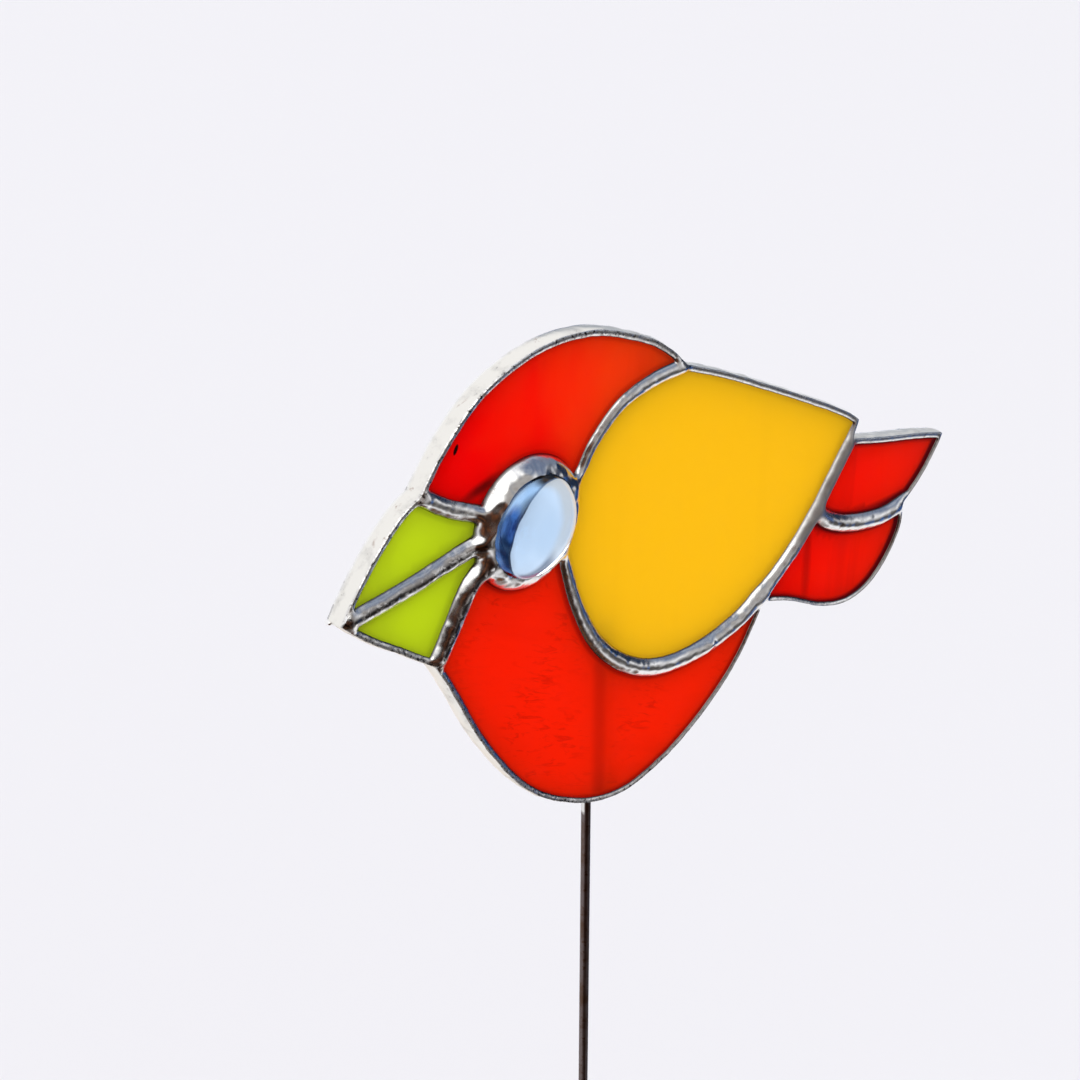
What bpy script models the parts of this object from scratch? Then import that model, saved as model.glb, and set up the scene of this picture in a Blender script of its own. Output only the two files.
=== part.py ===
"""Stained glass garden stake: a flat leaded bird with a domed glass eye, soldered to a thin steel rod."""

import math
from collections import namedtuple

import bmesh
import bpy
from mathutils import Vector

MM = 0.001

# The bird: its outline and seams are drawn as shares of its length, beak tip to tail tip
BIRD_LENGTH = 155.1 * MM

# Sheet glass
GLASS_THICKNESS = 3.0 * MM
FIT_GAP = 0.3 * MM  # between any two pieces that touch

# Solder seams and edging
SEAM_CORE = 0.7 * MM  # metal between two panes
FRONT_CROWN = 0.95 * MM  # bead above the glass, on the front
BACK_CROWN = 0.7 * MM
EDGE_LAP = 1.1 * MM  # edging over the front of the glass
EDGE_CROWN = 0.6 * MM
EDGE_WALL = 0.35 * MM  # metal outside the glass, at the outline
EDGE_SWELL = 0.2 * MM  # how far the outer edge bulges half way between front and back
LIP = 0.15 * MM  # metal's thickness where the bead thins out on the glass

# Width of the bead on each seam, at its two ends
SEAM_WIDTHS = {
    "neck": (2.5 * MM, 3.1 * MM),
    "breast": (2.4 * MM, 4.5 * MM),
    "vent": (3.4 * MM, 3.4 * MM),
    "tail_root": (4.0 * MM, 3.7 * MM),
    "wing_end": (3.5 * MM, 3.7 * MM),
    "tail_split": (3.5 * MM, 4.2 * MM),
    "brow": (3.1 * MM, 3.3 * MM),
    "bill": (3.7 * MM, 3.9 * MM),
    "throat": (4.2 * MM, 4.5 * MM),
}

# Eye: a domed nugget in a raised collar
NUGGET_DIAMETER = 19.0 * MM
NUGGET_SEAT_DIAMETER = 16.8 * MM  # its flat back
NUGGET_HEIGHT = 6.4 * MM
NUGGET_GIRTH = 2.0 * MM  # from its flat back to its widest
NUGGET_STANDOFF = 0.6 * MM  # how far its flat back sits behind the front of the glass
COLLAR_HEIGHT = 2.7 * MM  # above the front of the glass
COLLAR_WALL = 0.55 * MM  # behind the nugget, before the panes' edges begin
COLLAR_SKIRT = 1.8 * MM  # from the panes' edges out over the glass
COLLAR_CREST = 0.165 * MM  # from the panes' edges in to where the collar's slope meets its round top
COLLAR_CURVE = 1.2  # 1 is a straight slope, and more steepens it towards the nugget
SEAT_OPENING = 15.6 * MM  # hole behind the nugget

# Stake
ROD_DIAMETER = 1.8 * MM
ROD_FREE_LENGTH = 250.0 * MM  # ground to the bird's lowest edge
ROD_RUN_PAST_SEAM = 6.5 * MM  # above the middle of the seam it is soldered to

# Solder joints on the stake
JOINT_COVER = 0.45 * MM  # metal over the rod
JOINT_SIDE = 1.3 * MM  # metal beside the rod
JOINT_LENGTH = 9.0 * MM
JOINT_RISE = 2.9 * MM  # the lower joint's middle, above the bird's lowest edge
JOINT_BULGE = 0.3  # where a joint is widest, as a share of the way from the rod's axis to the glass

# How far an outline may turn between two of its points, and sides of round pieces
CURVE_TURN = math.radians(7)
ARC_STEP = math.radians(7.5)
ROUND_SIDES = 48
ROD_SIDES = 24
LUMP_SIDES = 20
LUMP_RINGS = 10
NUGGET_TURNS_BELOW = (0, 30, 60)  # degrees round its section, up to its widest ring
NUGGET_TURNS_ABOVE = (0, 10, 20, 30, 40, 50, 60, 70, 80)
NEARLY_ONE_LINE = 0.06  # sine of the angle under which two sides count as one line
SMOOTH_UP_TO = 50  # degrees between faces that are shaded as one surface

# The pattern: corners and curve points in pattern units, x towards the tail and z up
BEAK_TIP = (-59.1, 58.5)
BEAK_TOP = (-42.2, 75.8)
NAPE = (19.4, 81.5)
WING_TIP = (68.6, 56.9)
WING_NOTCH = (66.8, 53.2)
TAIL_TIP = (96.0, 46.0)
TAIL_NOTCH = (84.6, 33.9)
VENT_NOTCH = (42.9, 26.6)
THROAT_NOTCH = (-39.8, 43.9)
VENT = (42.3, 28.6)
TAIL_FORK = (57.2, 41.2)
EYE = (-19.0, 63.6)
BELLY_LOW = (4.4, 0.3)
ROD_ON_PATTERN = 0.6

# Where each seam meets the eye, in degrees round it from the tail side, minus below it
EYE_ANGLES = {"neck": 16.0, "brow": 155.0, "bill": 180.0, "throat": 205.0, "breast": -36.0}

# Points that each curve passes between its ends
OUTLINE_BENDS = {
    "bill_top": [(-56.8, 62.0), (-52.0, 68.0), (-46.6, 73.2)],
    "crown": [(-36.7, 82.7), (-28.3, 89.8), (-16.0, 94.0), (-3.6, 93.8), (7.9, 89.8), (14.4, 86.1)],
    "wing_top": [(29.9, 77.1), (42.6, 71.0), (57.3, 63.6), (65.0, 59.4)],
    "wing_end_edge": [],
    "tail_top": [(77.7, 50.4), (87.6, 48.2)],
    "tail_fan": [(90.4, 38.6), (94.4, 43.4)],
    "tail_bottom": [(50.6, 24.0), (60.2, 19.4), (68.1, 17.5), (74.9, 18.8), (80.4, 23.0), (84.1, 28.7)],
    "belly": [
        (36.0, 16.7), (26.9, 8.8), (16.2, 3.0), BELLY_LOW, (-7.4, 3.3), (-19.2, 11.2), (-29.1, 24.2), (-36.3, 37.7),
    ],
    "bill_bottom": [(-47.2, 49.2), (-54.0, 54.0)],
}
SEAM_BENDS = {
    "neck": [(-6.3, 69.2), (-3.1, 73.6), (3.2, 78.6), (11.1, 80.9)],
    "breast": [(-9.8, 52.4), (-6.6, 42.7), (-1.7, 33.9), (5.8, 27.0), (15.0, 23.2), (25.8, 22.9), (35.7, 25.2)],
    "vent": [],
    "tail_root": [(46.8, 31.5), (52.8, 36.5)],
    "wing_end": [(62.9, 48.4)],
    "tail_split": [(61.4, 37.7), (68.0, 34.9), (77.4, 33.2)],
    "brow": [(-36.2, 71.7)],
    "bill": [(-44.7, 60.5)],
    "throat": [(-35.7, 50.4), (-32.2, 56.0)],
}

# Heights follow from the stack: rod on the back beads, glass in front of them
GLASS_BACK = -(ROD_DIAMETER / 2 + FIT_GAP + BACK_CROWN)
GLASS_FRONT = GLASS_BACK - GLASS_THICKNESS
PATTERN_SCALE = BIRD_LENGTH / (TAIL_TIP[0] - BEAK_TIP[0])
NUGGET_RADIUS = NUGGET_DIAMETER / 2
BORE_RADIUS = NUGGET_RADIUS + FIT_GAP
EYE_BORDER = BORE_RADIUS + COLLAR_WALL
COLLAR_FOOT = EYE_BORDER + COLLAR_SKIRT

# Shares of the way from a bead's crest to its edge on the glass, where its section has a point
BEAD_SHARES = (0.28, 0.7, 1.0)

# Colours and finishes
RED = (0.78, 0.012, 0.004)
ORANGE_RED = (0.84, 0.02, 0.004)
LIME = (0.40, 0.56, 0.012)
AMBER = (1.0, 0.50, 0.008)
PALE_BLUE = (0.42, 0.62, 0.85)
TIN = (0.80, 0.79, 0.77)
STEEL = (0.07, 0.055, 0.055)
SHEET_ROUGHNESS = 0.12
SHEET_CLEARNESS = 0.3
NUGGET_ROUGHNESS = 0.04
NUGGET_CLEARNESS = 0.7
TIN_ROUGHNESS = 0.22
STEEL_ROUGHNESS = 0.45

# One straight stretch of a pane's border: its kind, and how far solder reaches from it over the pane
Side = namedtuple("Side", "start end kind reach")


def clear_scene():
    for thing in list(bpy.data.objects):
        bpy.data.objects.remove(thing, do_unlink=True)


def on_pattern(point):
    """A pattern point as x and z in metres, from the rod's axis and the ground."""
    x, z = point
    return Vector(((x - ROD_ON_PATTERN) * PATTERN_SCALE, ROD_FREE_LENGTH + (z - BELLY_LOW[1]) * PATTERN_SCALE))


def eye_point(degrees, radius=EYE_BORDER):
    turn = math.radians(degrees)
    return on_pattern(EYE) + radius * Vector((math.cos(turn), math.sin(turn)))


def smooth_curve(points):
    """Points along a Catmull-Rom curve through the given ones, closer together where it turns more."""
    padded = [2 * points[0] - points[1]] + points + [2 * points[-1] - points[-2]]
    curve = [points[0]]
    for before, start, end, after in zip(padded, padded[1:], padded[2:], padded[3:]):
        chord = end - start
        turn = (end - before).angle(chord) + chord.angle(after - start)
        steps = max(1, round(turn / CURVE_TURN))
        for step in range(1, steps + 1):
            t = step / steps
            curve.append(
                0.5 * (2 * start + (end - before) * t + (2 * before - 5 * start + 4 * end - after) * t * t
                       + (3 * start - before - 3 * end + after) * t ** 3)
            )
    return curve


def sides_along(points, kind, reaches):
    """Sides between successive points, with a reach that runs evenly from the first value to the last."""
    count = len(points) - 1
    first, last = reaches
    return [
        Side(points[i], points[i + 1], kind, first + (last - first) * (i + 0.5) / count)
        for i in range(count)
    ]


def reversed_sides(sides):
    return [Side(side.end, side.start, side.kind, side.reach) for side in reversed(sides)]


def outline_border(name, start, end):
    points = [on_pattern(point) for point in [start] + OUTLINE_BENDS[name] + [end]]
    return sides_along(smooth_curve(points), "edge", (EDGE_LAP, EDGE_LAP))


def seam_border(name, start, end):
    points = [start] + [on_pattern(point) for point in SEAM_BENDS[name]] + [end]
    first, last = SEAM_WIDTHS[name]
    return sides_along(smooth_curve(points), "seam", (first / 2, last / 2))


def eye_border(first, last):
    """The eye's circle from one seam round to the next, against the clock."""
    start = EYE_ANGLES[first]
    sweep = (EYE_ANGLES[last] - start) % 360
    count = max(2, round(math.radians(sweep) / ARC_STEP))
    points = [eye_point(start + sweep * i / count) for i in range(count + 1)]
    return sides_along(points, "eye", (COLLAR_SKIRT, COLLAR_SKIRT))


def pattern_borders():
    """Every border of the pattern once, running clockwise round the bird or out from the eye."""
    ends = {name: eye_point(EYE_ANGLES[name]) for name in EYE_ANGLES}
    borders = {
        "bill_top": outline_border("bill_top", BEAK_TIP, BEAK_TOP),
        "crown": outline_border("crown", BEAK_TOP, NAPE),
        "wing_top": outline_border("wing_top", NAPE, WING_TIP),
        "wing_end_edge": outline_border("wing_end_edge", WING_TIP, WING_NOTCH),
        "tail_top": outline_border("tail_top", WING_NOTCH, TAIL_TIP),
        "tail_fan": reversed_sides(outline_border("tail_fan", TAIL_NOTCH, TAIL_TIP)),
        "tail_bottom": reversed_sides(outline_border("tail_bottom", VENT_NOTCH, TAIL_NOTCH)),
        "belly": outline_border("belly", VENT_NOTCH, THROAT_NOTCH),
        "bill_bottom": outline_border("bill_bottom", THROAT_NOTCH, BEAK_TIP),
        "neck": seam_border("neck", ends["neck"], on_pattern(NAPE)),
        "breast": seam_border("breast", ends["breast"], on_pattern(VENT)),
        "vent": seam_border("vent", on_pattern(VENT), on_pattern(VENT_NOTCH)),
        "tail_root": seam_border("tail_root", on_pattern(VENT), on_pattern(TAIL_FORK)),
        "wing_end": seam_border("wing_end", on_pattern(TAIL_FORK), on_pattern(WING_NOTCH)),
        "tail_split": seam_border("tail_split", on_pattern(TAIL_FORK), on_pattern(TAIL_NOTCH)),
    }
    for name, notch in (("brow", BEAK_TOP), ("bill", BEAK_TIP), ("throat", THROAT_NOTCH)):
        borders[name] = reversed_sides(seam_border(name, on_pattern(notch), ends[name]))
    return borders


def pane_cells(borders):
    """Each pane's whole border, clockwise, up to the middle of its seams."""
    def back(name):
        return reversed_sides(borders[name])

    return {
        "head_glass": borders["crown"] + back("neck") + eye_border("neck", "brow") + borders["brow"],
        "upper_beak_glass": borders["bill_top"] + back("brow") + eye_border("brow", "bill") + borders["bill"],
        "lower_beak_glass": back("bill") + eye_border("bill", "throat") + borders["throat"] + borders["bill_bottom"],
        "breast_glass": (
            back("throat") + eye_border("throat", "breast") + borders["breast"] + borders["vent"] + borders["belly"]
        ),
        "wing_glass": (
            borders["neck"] + borders["wing_top"] + borders["wing_end_edge"]
            + back("wing_end") + back("tail_root") + back("breast") + eye_border("breast", "neck")
        ),
        "lower_tail_glass": borders["tail_root"] + borders["tail_split"] + borders["tail_bottom"] + back("vent"),
        "upper_tail_glass": borders["wing_end"] + borders["tail_top"] + borders["tail_fan"] + back("tail_split"),
    }


def crossing(first_point, first_way, second_point, second_way):
    """Where two lines cross, or the middle between the points where the lines are nearly one."""
    cross = first_way.x * second_way.y - first_way.y * second_way.x
    if abs(cross) < NEARLY_ONE_LINE:
        return (first_point + second_point) / 2
    apart = second_point - first_point
    return first_point + first_way * ((apart.x * second_way.y - apart.y * second_way.x) / cross)


def moved_inwards(sides, distances):
    """The corners of a clockwise outline after each side moves inwards by its own distance.

    A side that its neighbours swallow keeps its place in the list, with both ends at their crossing."""
    ways = [(side.end - side.start).normalized() for side in sides]
    offsets = [Vector((way.y, -way.x)) * distance for way, distance in zip(ways, distances)]
    kept = list(range(len(sides)))
    while True:
        corners = {
            after: crossing(sides[before].end + offsets[before], ways[before],
                            sides[after].start + offsets[after], ways[after])
            for before, after in zip(kept[-1:] + kept[:-1], kept)
        }
        runs = {i: (corners[after] - corners[i]).dot(ways[i]) for i, after in zip(kept, kept[1:] + kept[:1])}
        worst = min(kept, key=runs.get)
        if runs[worst] > 0:
            break
        kept.remove(worst)
    return [corners[next((later for later in kept if later >= i), kept[0])] for i in range(len(sides))]


def collar_rise(radius):
    """Height of the eye's collar above the glass at a radius, a slope that steepens towards the nugget."""
    share = (COLLAR_FOOT - radius) / (COLLAR_FOOT - BORE_RADIUS)
    foot = FIT_GAP + LIP
    return foot + (COLLAR_HEIGHT - foot) * max(share, 0.0) ** COLLAR_CURVE


def bead_rise(kind, share, reach, front):
    """Height of the solder above the glass, at a share of the way from its crest to its edge."""
    if kind == "eye" and front:
        return collar_rise(EYE_BORDER + share * reach)
    if kind == "edge":
        crown = EDGE_CROWN
    else:
        crown = FRONT_CROWN if front else BACK_CROWN
    foot = FIT_GAP + LIP
    return foot + (crown - foot) * math.sqrt(max(0.0, 1 - share * share))


def bead_distance(side, share):
    """How far inside a border the bead has that share: an edging's crest lies half way over its lap."""
    if side.kind == "edge":
        return side.reach * (1 + share) / 2
    return side.reach * share


def ring(mesh, corners, levels):
    """A closed ring of vertices, each at the mean level of the two sides that it joins."""
    made = {}
    vertices = []
    for i, corner in enumerate(corners):
        if id(corner) not in made:
            level = (levels[i - 1] + levels[i]) / 2
            made[id(corner)] = mesh.verts.new((corner.x, level, corner.y))
        vertices.append(made[id(corner)])
    return vertices


def flat_ring(mesh, corners, level):
    return ring(mesh, corners, [level] * len(corners))


def unique(vertices):
    return list(dict.fromkeys(vertices))


def join_rings(mesh, rings):
    for first, second in zip(rings, rings[1:]):
        for i in range(len(first)):
            corners = unique((first[i - 1], first[i], second[i], second[i - 1]))
            if len(corners) > 2:
                mesh.faces.new(corners)


def ring_edges(mesh, vertices):
    vertices = unique(vertices)
    return [mesh.edges.get((vertices[i - 1], vertex)) for i, vertex in enumerate(vertices)]


def window_rings(mesh, sides):
    """Solder round one pane, from the front crest over its lip, round the glass's edge, to the back crest."""
    rings = []
    for share in BEAD_SHARES:
        levels = [GLASS_FRONT - bead_rise(side.kind, share, side.reach, True) for side in sides]
        rings.append(ring(mesh, moved_inwards(sides, [bead_distance(side, share) for side in sides]), levels))
    reaches = [side.reach for side in sides]
    walls = [EDGE_WALL if side.kind == "edge" else SEAM_CORE / 2 for side in sides]
    for level in (GLASS_FRONT - FIT_GAP, GLASS_BACK + FIT_GAP):
        pocket = [(reaches, level), (walls, level)]
        if level > GLASS_FRONT:
            pocket.reverse()
        for distances, depth in pocket:
            rings.append(flat_ring(mesh, moved_inwards(sides, distances), depth))
    for share in reversed(BEAD_SHARES):
        levels = [GLASS_BACK + bead_rise(side.kind, share, side.reach, False) for side in sides]
        rings.append(ring(mesh, moved_inwards(sides, [bead_distance(side, share) for side in sides]), levels))
    return rings


def outline_rings(mesh, sides):
    """The outline from its front crest, round the outer edge, to its back crest."""
    rings = []
    for share in BEAD_SHARES[:2]:
        distances = [side.reach * (1 - share) / 2 for side in sides]
        rise = bead_rise("edge", share, EDGE_LAP, True)
        rings.append(flat_ring(mesh, moved_inwards(sides, distances), GLASS_FRONT - rise))
    edge = ((0, GLASS_FRONT), (-EDGE_SWELL, (GLASS_FRONT + GLASS_BACK) / 2), (0, GLASS_BACK))
    for distance, level in edge:
        rings.append(flat_ring(mesh, moved_inwards(sides, [distance] * len(sides)), level))
    for share in reversed(BEAD_SHARES[:2]):
        distances = [side.reach * (1 - share) / 2 for side in sides]
        rise = bead_rise("edge", share, EDGE_LAP, False)
        rings.append(flat_ring(mesh, moved_inwards(sides, distances), GLASS_BACK + rise))
    return rings


def eye_rings(mesh):
    """The collar's inside: up to its top, down the nugget's bore, over the seat and out at the back."""
    girth = GLASS_FRONT + NUGGET_STANDOFF - NUGGET_GIRTH
    seat = GLASS_FRONT + NUGGET_STANDOFF + FIT_GAP
    crest = EYE_BORDER - COLLAR_CREST
    lip_radius = nugget_radius_at(COLLAR_HEIGHT + NUGGET_STANDOFF) + FIT_GAP
    back_rise = bead_rise("seam", BEAD_SHARES[0], 0, False)
    section = [
        (crest, GLASS_FRONT - collar_rise(crest)),
        (lip_radius + LIP, GLASS_FRONT - COLLAR_HEIGHT),
        (lip_radius, GLASS_FRONT - COLLAR_HEIGHT + LIP),
        (BORE_RADIUS, girth),
        (BORE_RADIUS, seat),
        (SEAT_OPENING / 2, seat),
        (SEAT_OPENING / 2, GLASS_BACK + FIT_GAP),
        (SEAT_OPENING / 2 + back_rise, GLASS_BACK + back_rise),
    ]
    return [
        flat_ring(mesh, [eye_point(360 * i / ROUND_SIDES, radius) for i in range(ROUND_SIDES)], level)
        for radius, level in section
    ]


def finished_object(name, mesh, material, parent):
    bmesh.ops.recalc_face_normals(mesh, faces=mesh.faces)
    data = bpy.data.meshes.new(name)
    mesh.to_mesh(data)
    mesh.free()
    thing = bpy.data.objects.new(name, data)
    bpy.context.scene.collection.objects.link(thing)
    thing.data.materials.append(material)
    thing.parent = parent
    return thing


def smooth_shading(thing):
    thing.data.shade_smooth()
    thing.data.set_sharp_from_angle(angle=math.radians(SMOOTH_UP_TO))


def finish(name, colour, roughness, metallic=0.0, transmission=0.0):
    material = bpy.data.materials.new(name)
    material.use_nodes = True
    shader = material.node_tree.nodes["Principled BSDF"]
    shader.inputs["Base Color"].default_value = (*colour, 1.0)
    shader.inputs["Roughness"].default_value = roughness
    shader.inputs["Metallic"].default_value = metallic
    shader.inputs["Transmission Weight"].default_value = transmission
    return material


def glass_pane(name, sides, colour, parent):
    """One pane, cut to lie under its seams and edging with a gap to their metal."""
    inset = [(EDGE_WALL if side.kind == "edge" else SEAM_CORE / 2) + FIT_GAP for side in sides]
    mesh = bmesh.new()
    front = flat_ring(mesh, moved_inwards(sides, inset), GLASS_FRONT)
    face = mesh.faces.new(unique(front))
    made = bmesh.ops.extrude_face_region(mesh, geom=[face])
    back = [thing for thing in made["geom"] if isinstance(thing, bmesh.types.BMVert)]
    bmesh.ops.translate(mesh, verts=back, vec=(0, GLASS_THICKNESS, 0))
    material = finish(name, colour, SHEET_ROUGHNESS, transmission=SHEET_CLEARNESS)
    return finished_object(name, mesh, material, parent)


def nugget_radius_at(height):
    """The nugget's radius at a height above its flat back."""
    if height < NUGGET_GIRTH:
        share = (NUGGET_GIRTH - height) / NUGGET_GIRTH
        low = NUGGET_SEAT_DIAMETER / 2
        return low + (NUGGET_RADIUS - low) * math.sqrt(1 - share * share)
    share = (height - NUGGET_GIRTH) / (NUGGET_HEIGHT - NUGGET_GIRTH)
    return NUGGET_RADIUS * math.sqrt(max(0.0, 1 - share * share))


def nugget_heights():
    """Heights of the nugget's rings, closer together where its surface turns faster."""
    below = [NUGGET_GIRTH * (1 - math.cos(math.radians(turn))) for turn in NUGGET_TURNS_BELOW]
    above = [
        NUGGET_GIRTH + (NUGGET_HEIGHT - NUGGET_GIRTH) * math.sin(math.radians(turn))
        for turn in NUGGET_TURNS_ABOVE
    ]
    return below + above


def eye_nugget(parent):
    mesh = bmesh.new()
    rings = []
    for height in nugget_heights():
        radius = nugget_radius_at(height)
        corners = [eye_point(360 * i / ROUND_SIDES, radius) for i in range(ROUND_SIDES)]
        rings.append(flat_ring(mesh, corners, GLASS_FRONT + NUGGET_STANDOFF - height))
    join_rings(mesh, rings)
    mesh.faces.new(rings[0])
    centre = on_pattern(EYE)
    top = mesh.verts.new((centre.x, GLASS_FRONT + NUGGET_STANDOFF - NUGGET_HEIGHT, centre.y))
    last = rings[-1]
    for i, vertex in enumerate(last):
        mesh.faces.new((last[i - 1], vertex, top))
    material = finish("eye_nugget", PALE_BLUE, NUGGET_ROUGHNESS, transmission=NUGGET_CLEARNESS)
    smooth_shading(finished_object("eye_nugget", mesh, material, parent))


def lump(name, centre, radii, front_limit):
    """A rounded blob of solder, cut off flat towards the glass."""
    mesh = bmesh.new()
    bmesh.ops.create_uvsphere(mesh, u_segments=LUMP_SIDES, v_segments=LUMP_RINGS, radius=1.0)
    bmesh.ops.scale(mesh, verts=mesh.verts, vec=radii)
    bmesh.ops.translate(mesh, verts=mesh.verts, vec=centre)
    everything = mesh.verts[:] + mesh.edges[:] + mesh.faces[:]
    bmesh.ops.bisect_plane(
        mesh, geom=everything, plane_co=(0, front_limit, 0), plane_no=(0, -1, 0), clear_outer=True
    )
    bmesh.ops.holes_fill(mesh, edges=[edge for edge in mesh.edges if edge.is_boundary])
    return helper(name, mesh)


def helper(name, mesh):
    """An object that only joins or cuts another, and is left out itself."""
    bmesh.ops.recalc_face_normals(mesh, faces=mesh.faces)
    data = bpy.data.meshes.new(name)
    mesh.to_mesh(data)
    mesh.free()
    thing = bpy.data.objects.new(name, data)
    bpy.context.scene.collection.objects.link(thing)
    thing.hide_render = True
    thing.display_type = "WIRE"
    return thing


def cylinder(radius, low, high):
    """An upright cylinder on the rod's axis."""
    mesh = bmesh.new()
    bmesh.ops.create_cone(
        mesh, cap_ends=True, segments=ROD_SIDES, radius1=radius, radius2=radius, depth=high - low
    )
    bmesh.ops.translate(mesh, verts=mesh.verts, vec=(0, 0, (low + high) / 2))
    return mesh


def seam_height_at_rod(borders):
    """Height of the wing's lower seam where the rod passes behind it."""
    crossings = [side for side in borders["breast"] if (side.start.x > 0) != (side.end.x > 0)]
    side = crossings[0]
    share = -side.start.x / (side.end.x - side.start.x)
    return side.start.y + share * (side.end.y - side.start.y)


def combine(thing, other, operation):
    step = thing.modifiers.new(f"{operation.lower()} {other.name}", "BOOLEAN")
    step.operation = operation
    step.solver = "EXACT"
    step.object = other


def stake_joints(seams, seam_height, rod_top):
    """Solder that wraps the rod at the outline and at the wing's lower seam, with the rod's hole through it."""
    rod_hole = ROD_DIAMETER / 2 + FIT_GAP
    half_width = rod_hole + JOINT_SIDE
    back = rod_hole + JOINT_COVER
    flat = GLASS_BACK + FIT_GAP + LIP
    middle = flat * JOINT_BULGE
    radii = (half_width, back - middle, JOINT_LENGTH / 2)
    blobs = [
        lump("outline_joint", (0, middle, ROD_FREE_LENGTH + JOINT_RISE), radii, flat),
        lump("seam_joint", (0, middle, seam_height), radii, flat),
    ]
    for blob in blobs:
        combine(seams, blob, "UNION")
    hole = helper("rod_hole", cylinder(rod_hole, ROD_FREE_LENGTH - JOINT_LENGTH * 2, rod_top + FIT_GAP))
    combine(seams, hole, "DIFFERENCE")


def solder_seams(cells, borders, rod_top, parent):
    """The metal net: every seam and the edging as one body, with the eye's collar and the stake's joints."""
    mesh = bmesh.new()
    windows = [window_rings(mesh, sides) for sides in cells.values()]
    outline_order = (
        "bill_top", "crown", "wing_top", "wing_end_edge", "tail_top",
        "tail_fan", "tail_bottom", "belly", "bill_bottom",
    )
    outline = outline_rings(mesh, [side for name in outline_order for side in borders[name]])
    eye = eye_rings(mesh)
    for rings in windows + [outline, eye]:
        join_rings(mesh, rings)
    # The fill works to a fixed fineness that suits millimetres, so the mesh is large while it is filled
    bmesh.ops.scale(mesh, verts=mesh.verts, vec=Vector((1, 1, 1)) / MM)
    for end in (0, -1):
        edges = []
        for rings in windows + [outline, eye]:
            edges += ring_edges(mesh, rings[end])
        bmesh.ops.triangle_fill(mesh, use_beauty=True, edges=edges, normal=(0, 1, 0))
    bmesh.ops.scale(mesh, verts=mesh.verts, vec=Vector((1, 1, 1)) * MM)
    material = finish("solder_seams", TIN, TIN_ROUGHNESS, metallic=1.0)
    seams = finished_object("solder_seams", mesh, material, parent)
    smooth_shading(seams)
    stake_joints(seams, seam_height_at_rod(borders), rod_top)


def stake(rod_top, parent):
    material = finish("stake", STEEL, STEEL_ROUGHNESS, metallic=1.0)
    smooth_shading(finished_object("stake", cylinder(ROD_DIAMETER / 2, 0.0, rod_top), material, parent))


def main():
    clear_scene()
    origin = bpy.data.objects.new("stake_foot_origin", None)
    bpy.context.scene.collection.objects.link(origin)
    borders = pattern_borders()
    cells = pane_cells(borders)
    colours = {
        "head_glass": RED,
        "upper_beak_glass": LIME,
        "lower_beak_glass": LIME,
        "breast_glass": ORANGE_RED,
        "wing_glass": AMBER,
        "lower_tail_glass": RED,
        "upper_tail_glass": RED,
    }
    for name, sides in cells.items():
        glass_pane(name, sides, colours[name], origin)
    eye_nugget(origin)
    rod_top = seam_height_at_rod(borders) + ROD_RUN_PAST_SEAM
    solder_seams(cells, borders, rod_top, origin)
    stake(rod_top, origin)


main()
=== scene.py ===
"""Looks of the stained glass garden stake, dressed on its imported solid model."""

import logging
import math
from collections.abc import Iterator
from contextlib import contextmanager
from dataclasses import dataclass
from enum import Enum

import bpy
import numpy as np
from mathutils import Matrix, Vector, noise
from mathutils.geometry import delaunay_2d_cdt
from mathutils.kdtree import KDTree


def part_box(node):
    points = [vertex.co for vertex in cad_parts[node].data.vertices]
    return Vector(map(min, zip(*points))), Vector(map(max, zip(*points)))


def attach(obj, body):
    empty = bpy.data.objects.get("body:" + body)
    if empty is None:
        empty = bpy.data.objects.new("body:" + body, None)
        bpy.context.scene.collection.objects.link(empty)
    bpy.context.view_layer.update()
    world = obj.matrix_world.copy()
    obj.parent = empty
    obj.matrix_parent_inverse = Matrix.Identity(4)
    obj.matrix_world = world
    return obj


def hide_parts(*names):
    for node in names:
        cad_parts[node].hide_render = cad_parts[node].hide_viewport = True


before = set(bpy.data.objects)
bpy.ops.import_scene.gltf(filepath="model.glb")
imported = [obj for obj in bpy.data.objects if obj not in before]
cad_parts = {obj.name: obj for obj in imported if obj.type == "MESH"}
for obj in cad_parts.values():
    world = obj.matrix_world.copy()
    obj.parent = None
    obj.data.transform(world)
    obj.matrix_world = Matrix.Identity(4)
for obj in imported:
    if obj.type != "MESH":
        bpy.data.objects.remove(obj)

MM = 0.001
LOG = logging.getLogger("garden_stake")
Point = tuple[float, float]
Colour = tuple[float, float, float]
Array = np.ndarray
Thing = bpy.types.Object
Material = bpy.types.Material
Socket = bpy.types.NodeSocket


class Border(Enum):
    """What a stretch of a pane's border is."""

    SEAM = "seam"
    EDGE = "edge"
    EYE = "eye"


class Face(Enum):
    """A side of the bird."""

    FRONT = -1
    BACK = 1


def clear_selection() -> None:
    """Deselect everything, so that an operator touches only what is made next."""
    if bpy.context.object is not None and bpy.context.object.mode != "OBJECT":
        bpy.ops.object.mode_set(mode="OBJECT")
    bpy.ops.object.select_all(action="DESELECT")


def select_only(*things: Thing) -> None:
    """Select these objects alone, the first one active."""
    clear_selection()
    for thing in things:
        thing.select_set(True)
    bpy.context.view_layer.objects.active = things[0]


def named(thing: Thing, name: str) -> Thing:
    """Give an object and its mesh one name."""
    thing.name = name
    thing.data.name = name
    return thing


def seated(thing: Thing) -> Thing:
    """Move an object's place, turn and size into its mesh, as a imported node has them."""
    select_only(thing)
    bpy.ops.object.transform_apply(location=True, rotation=True, scale=True)
    return thing


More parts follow.
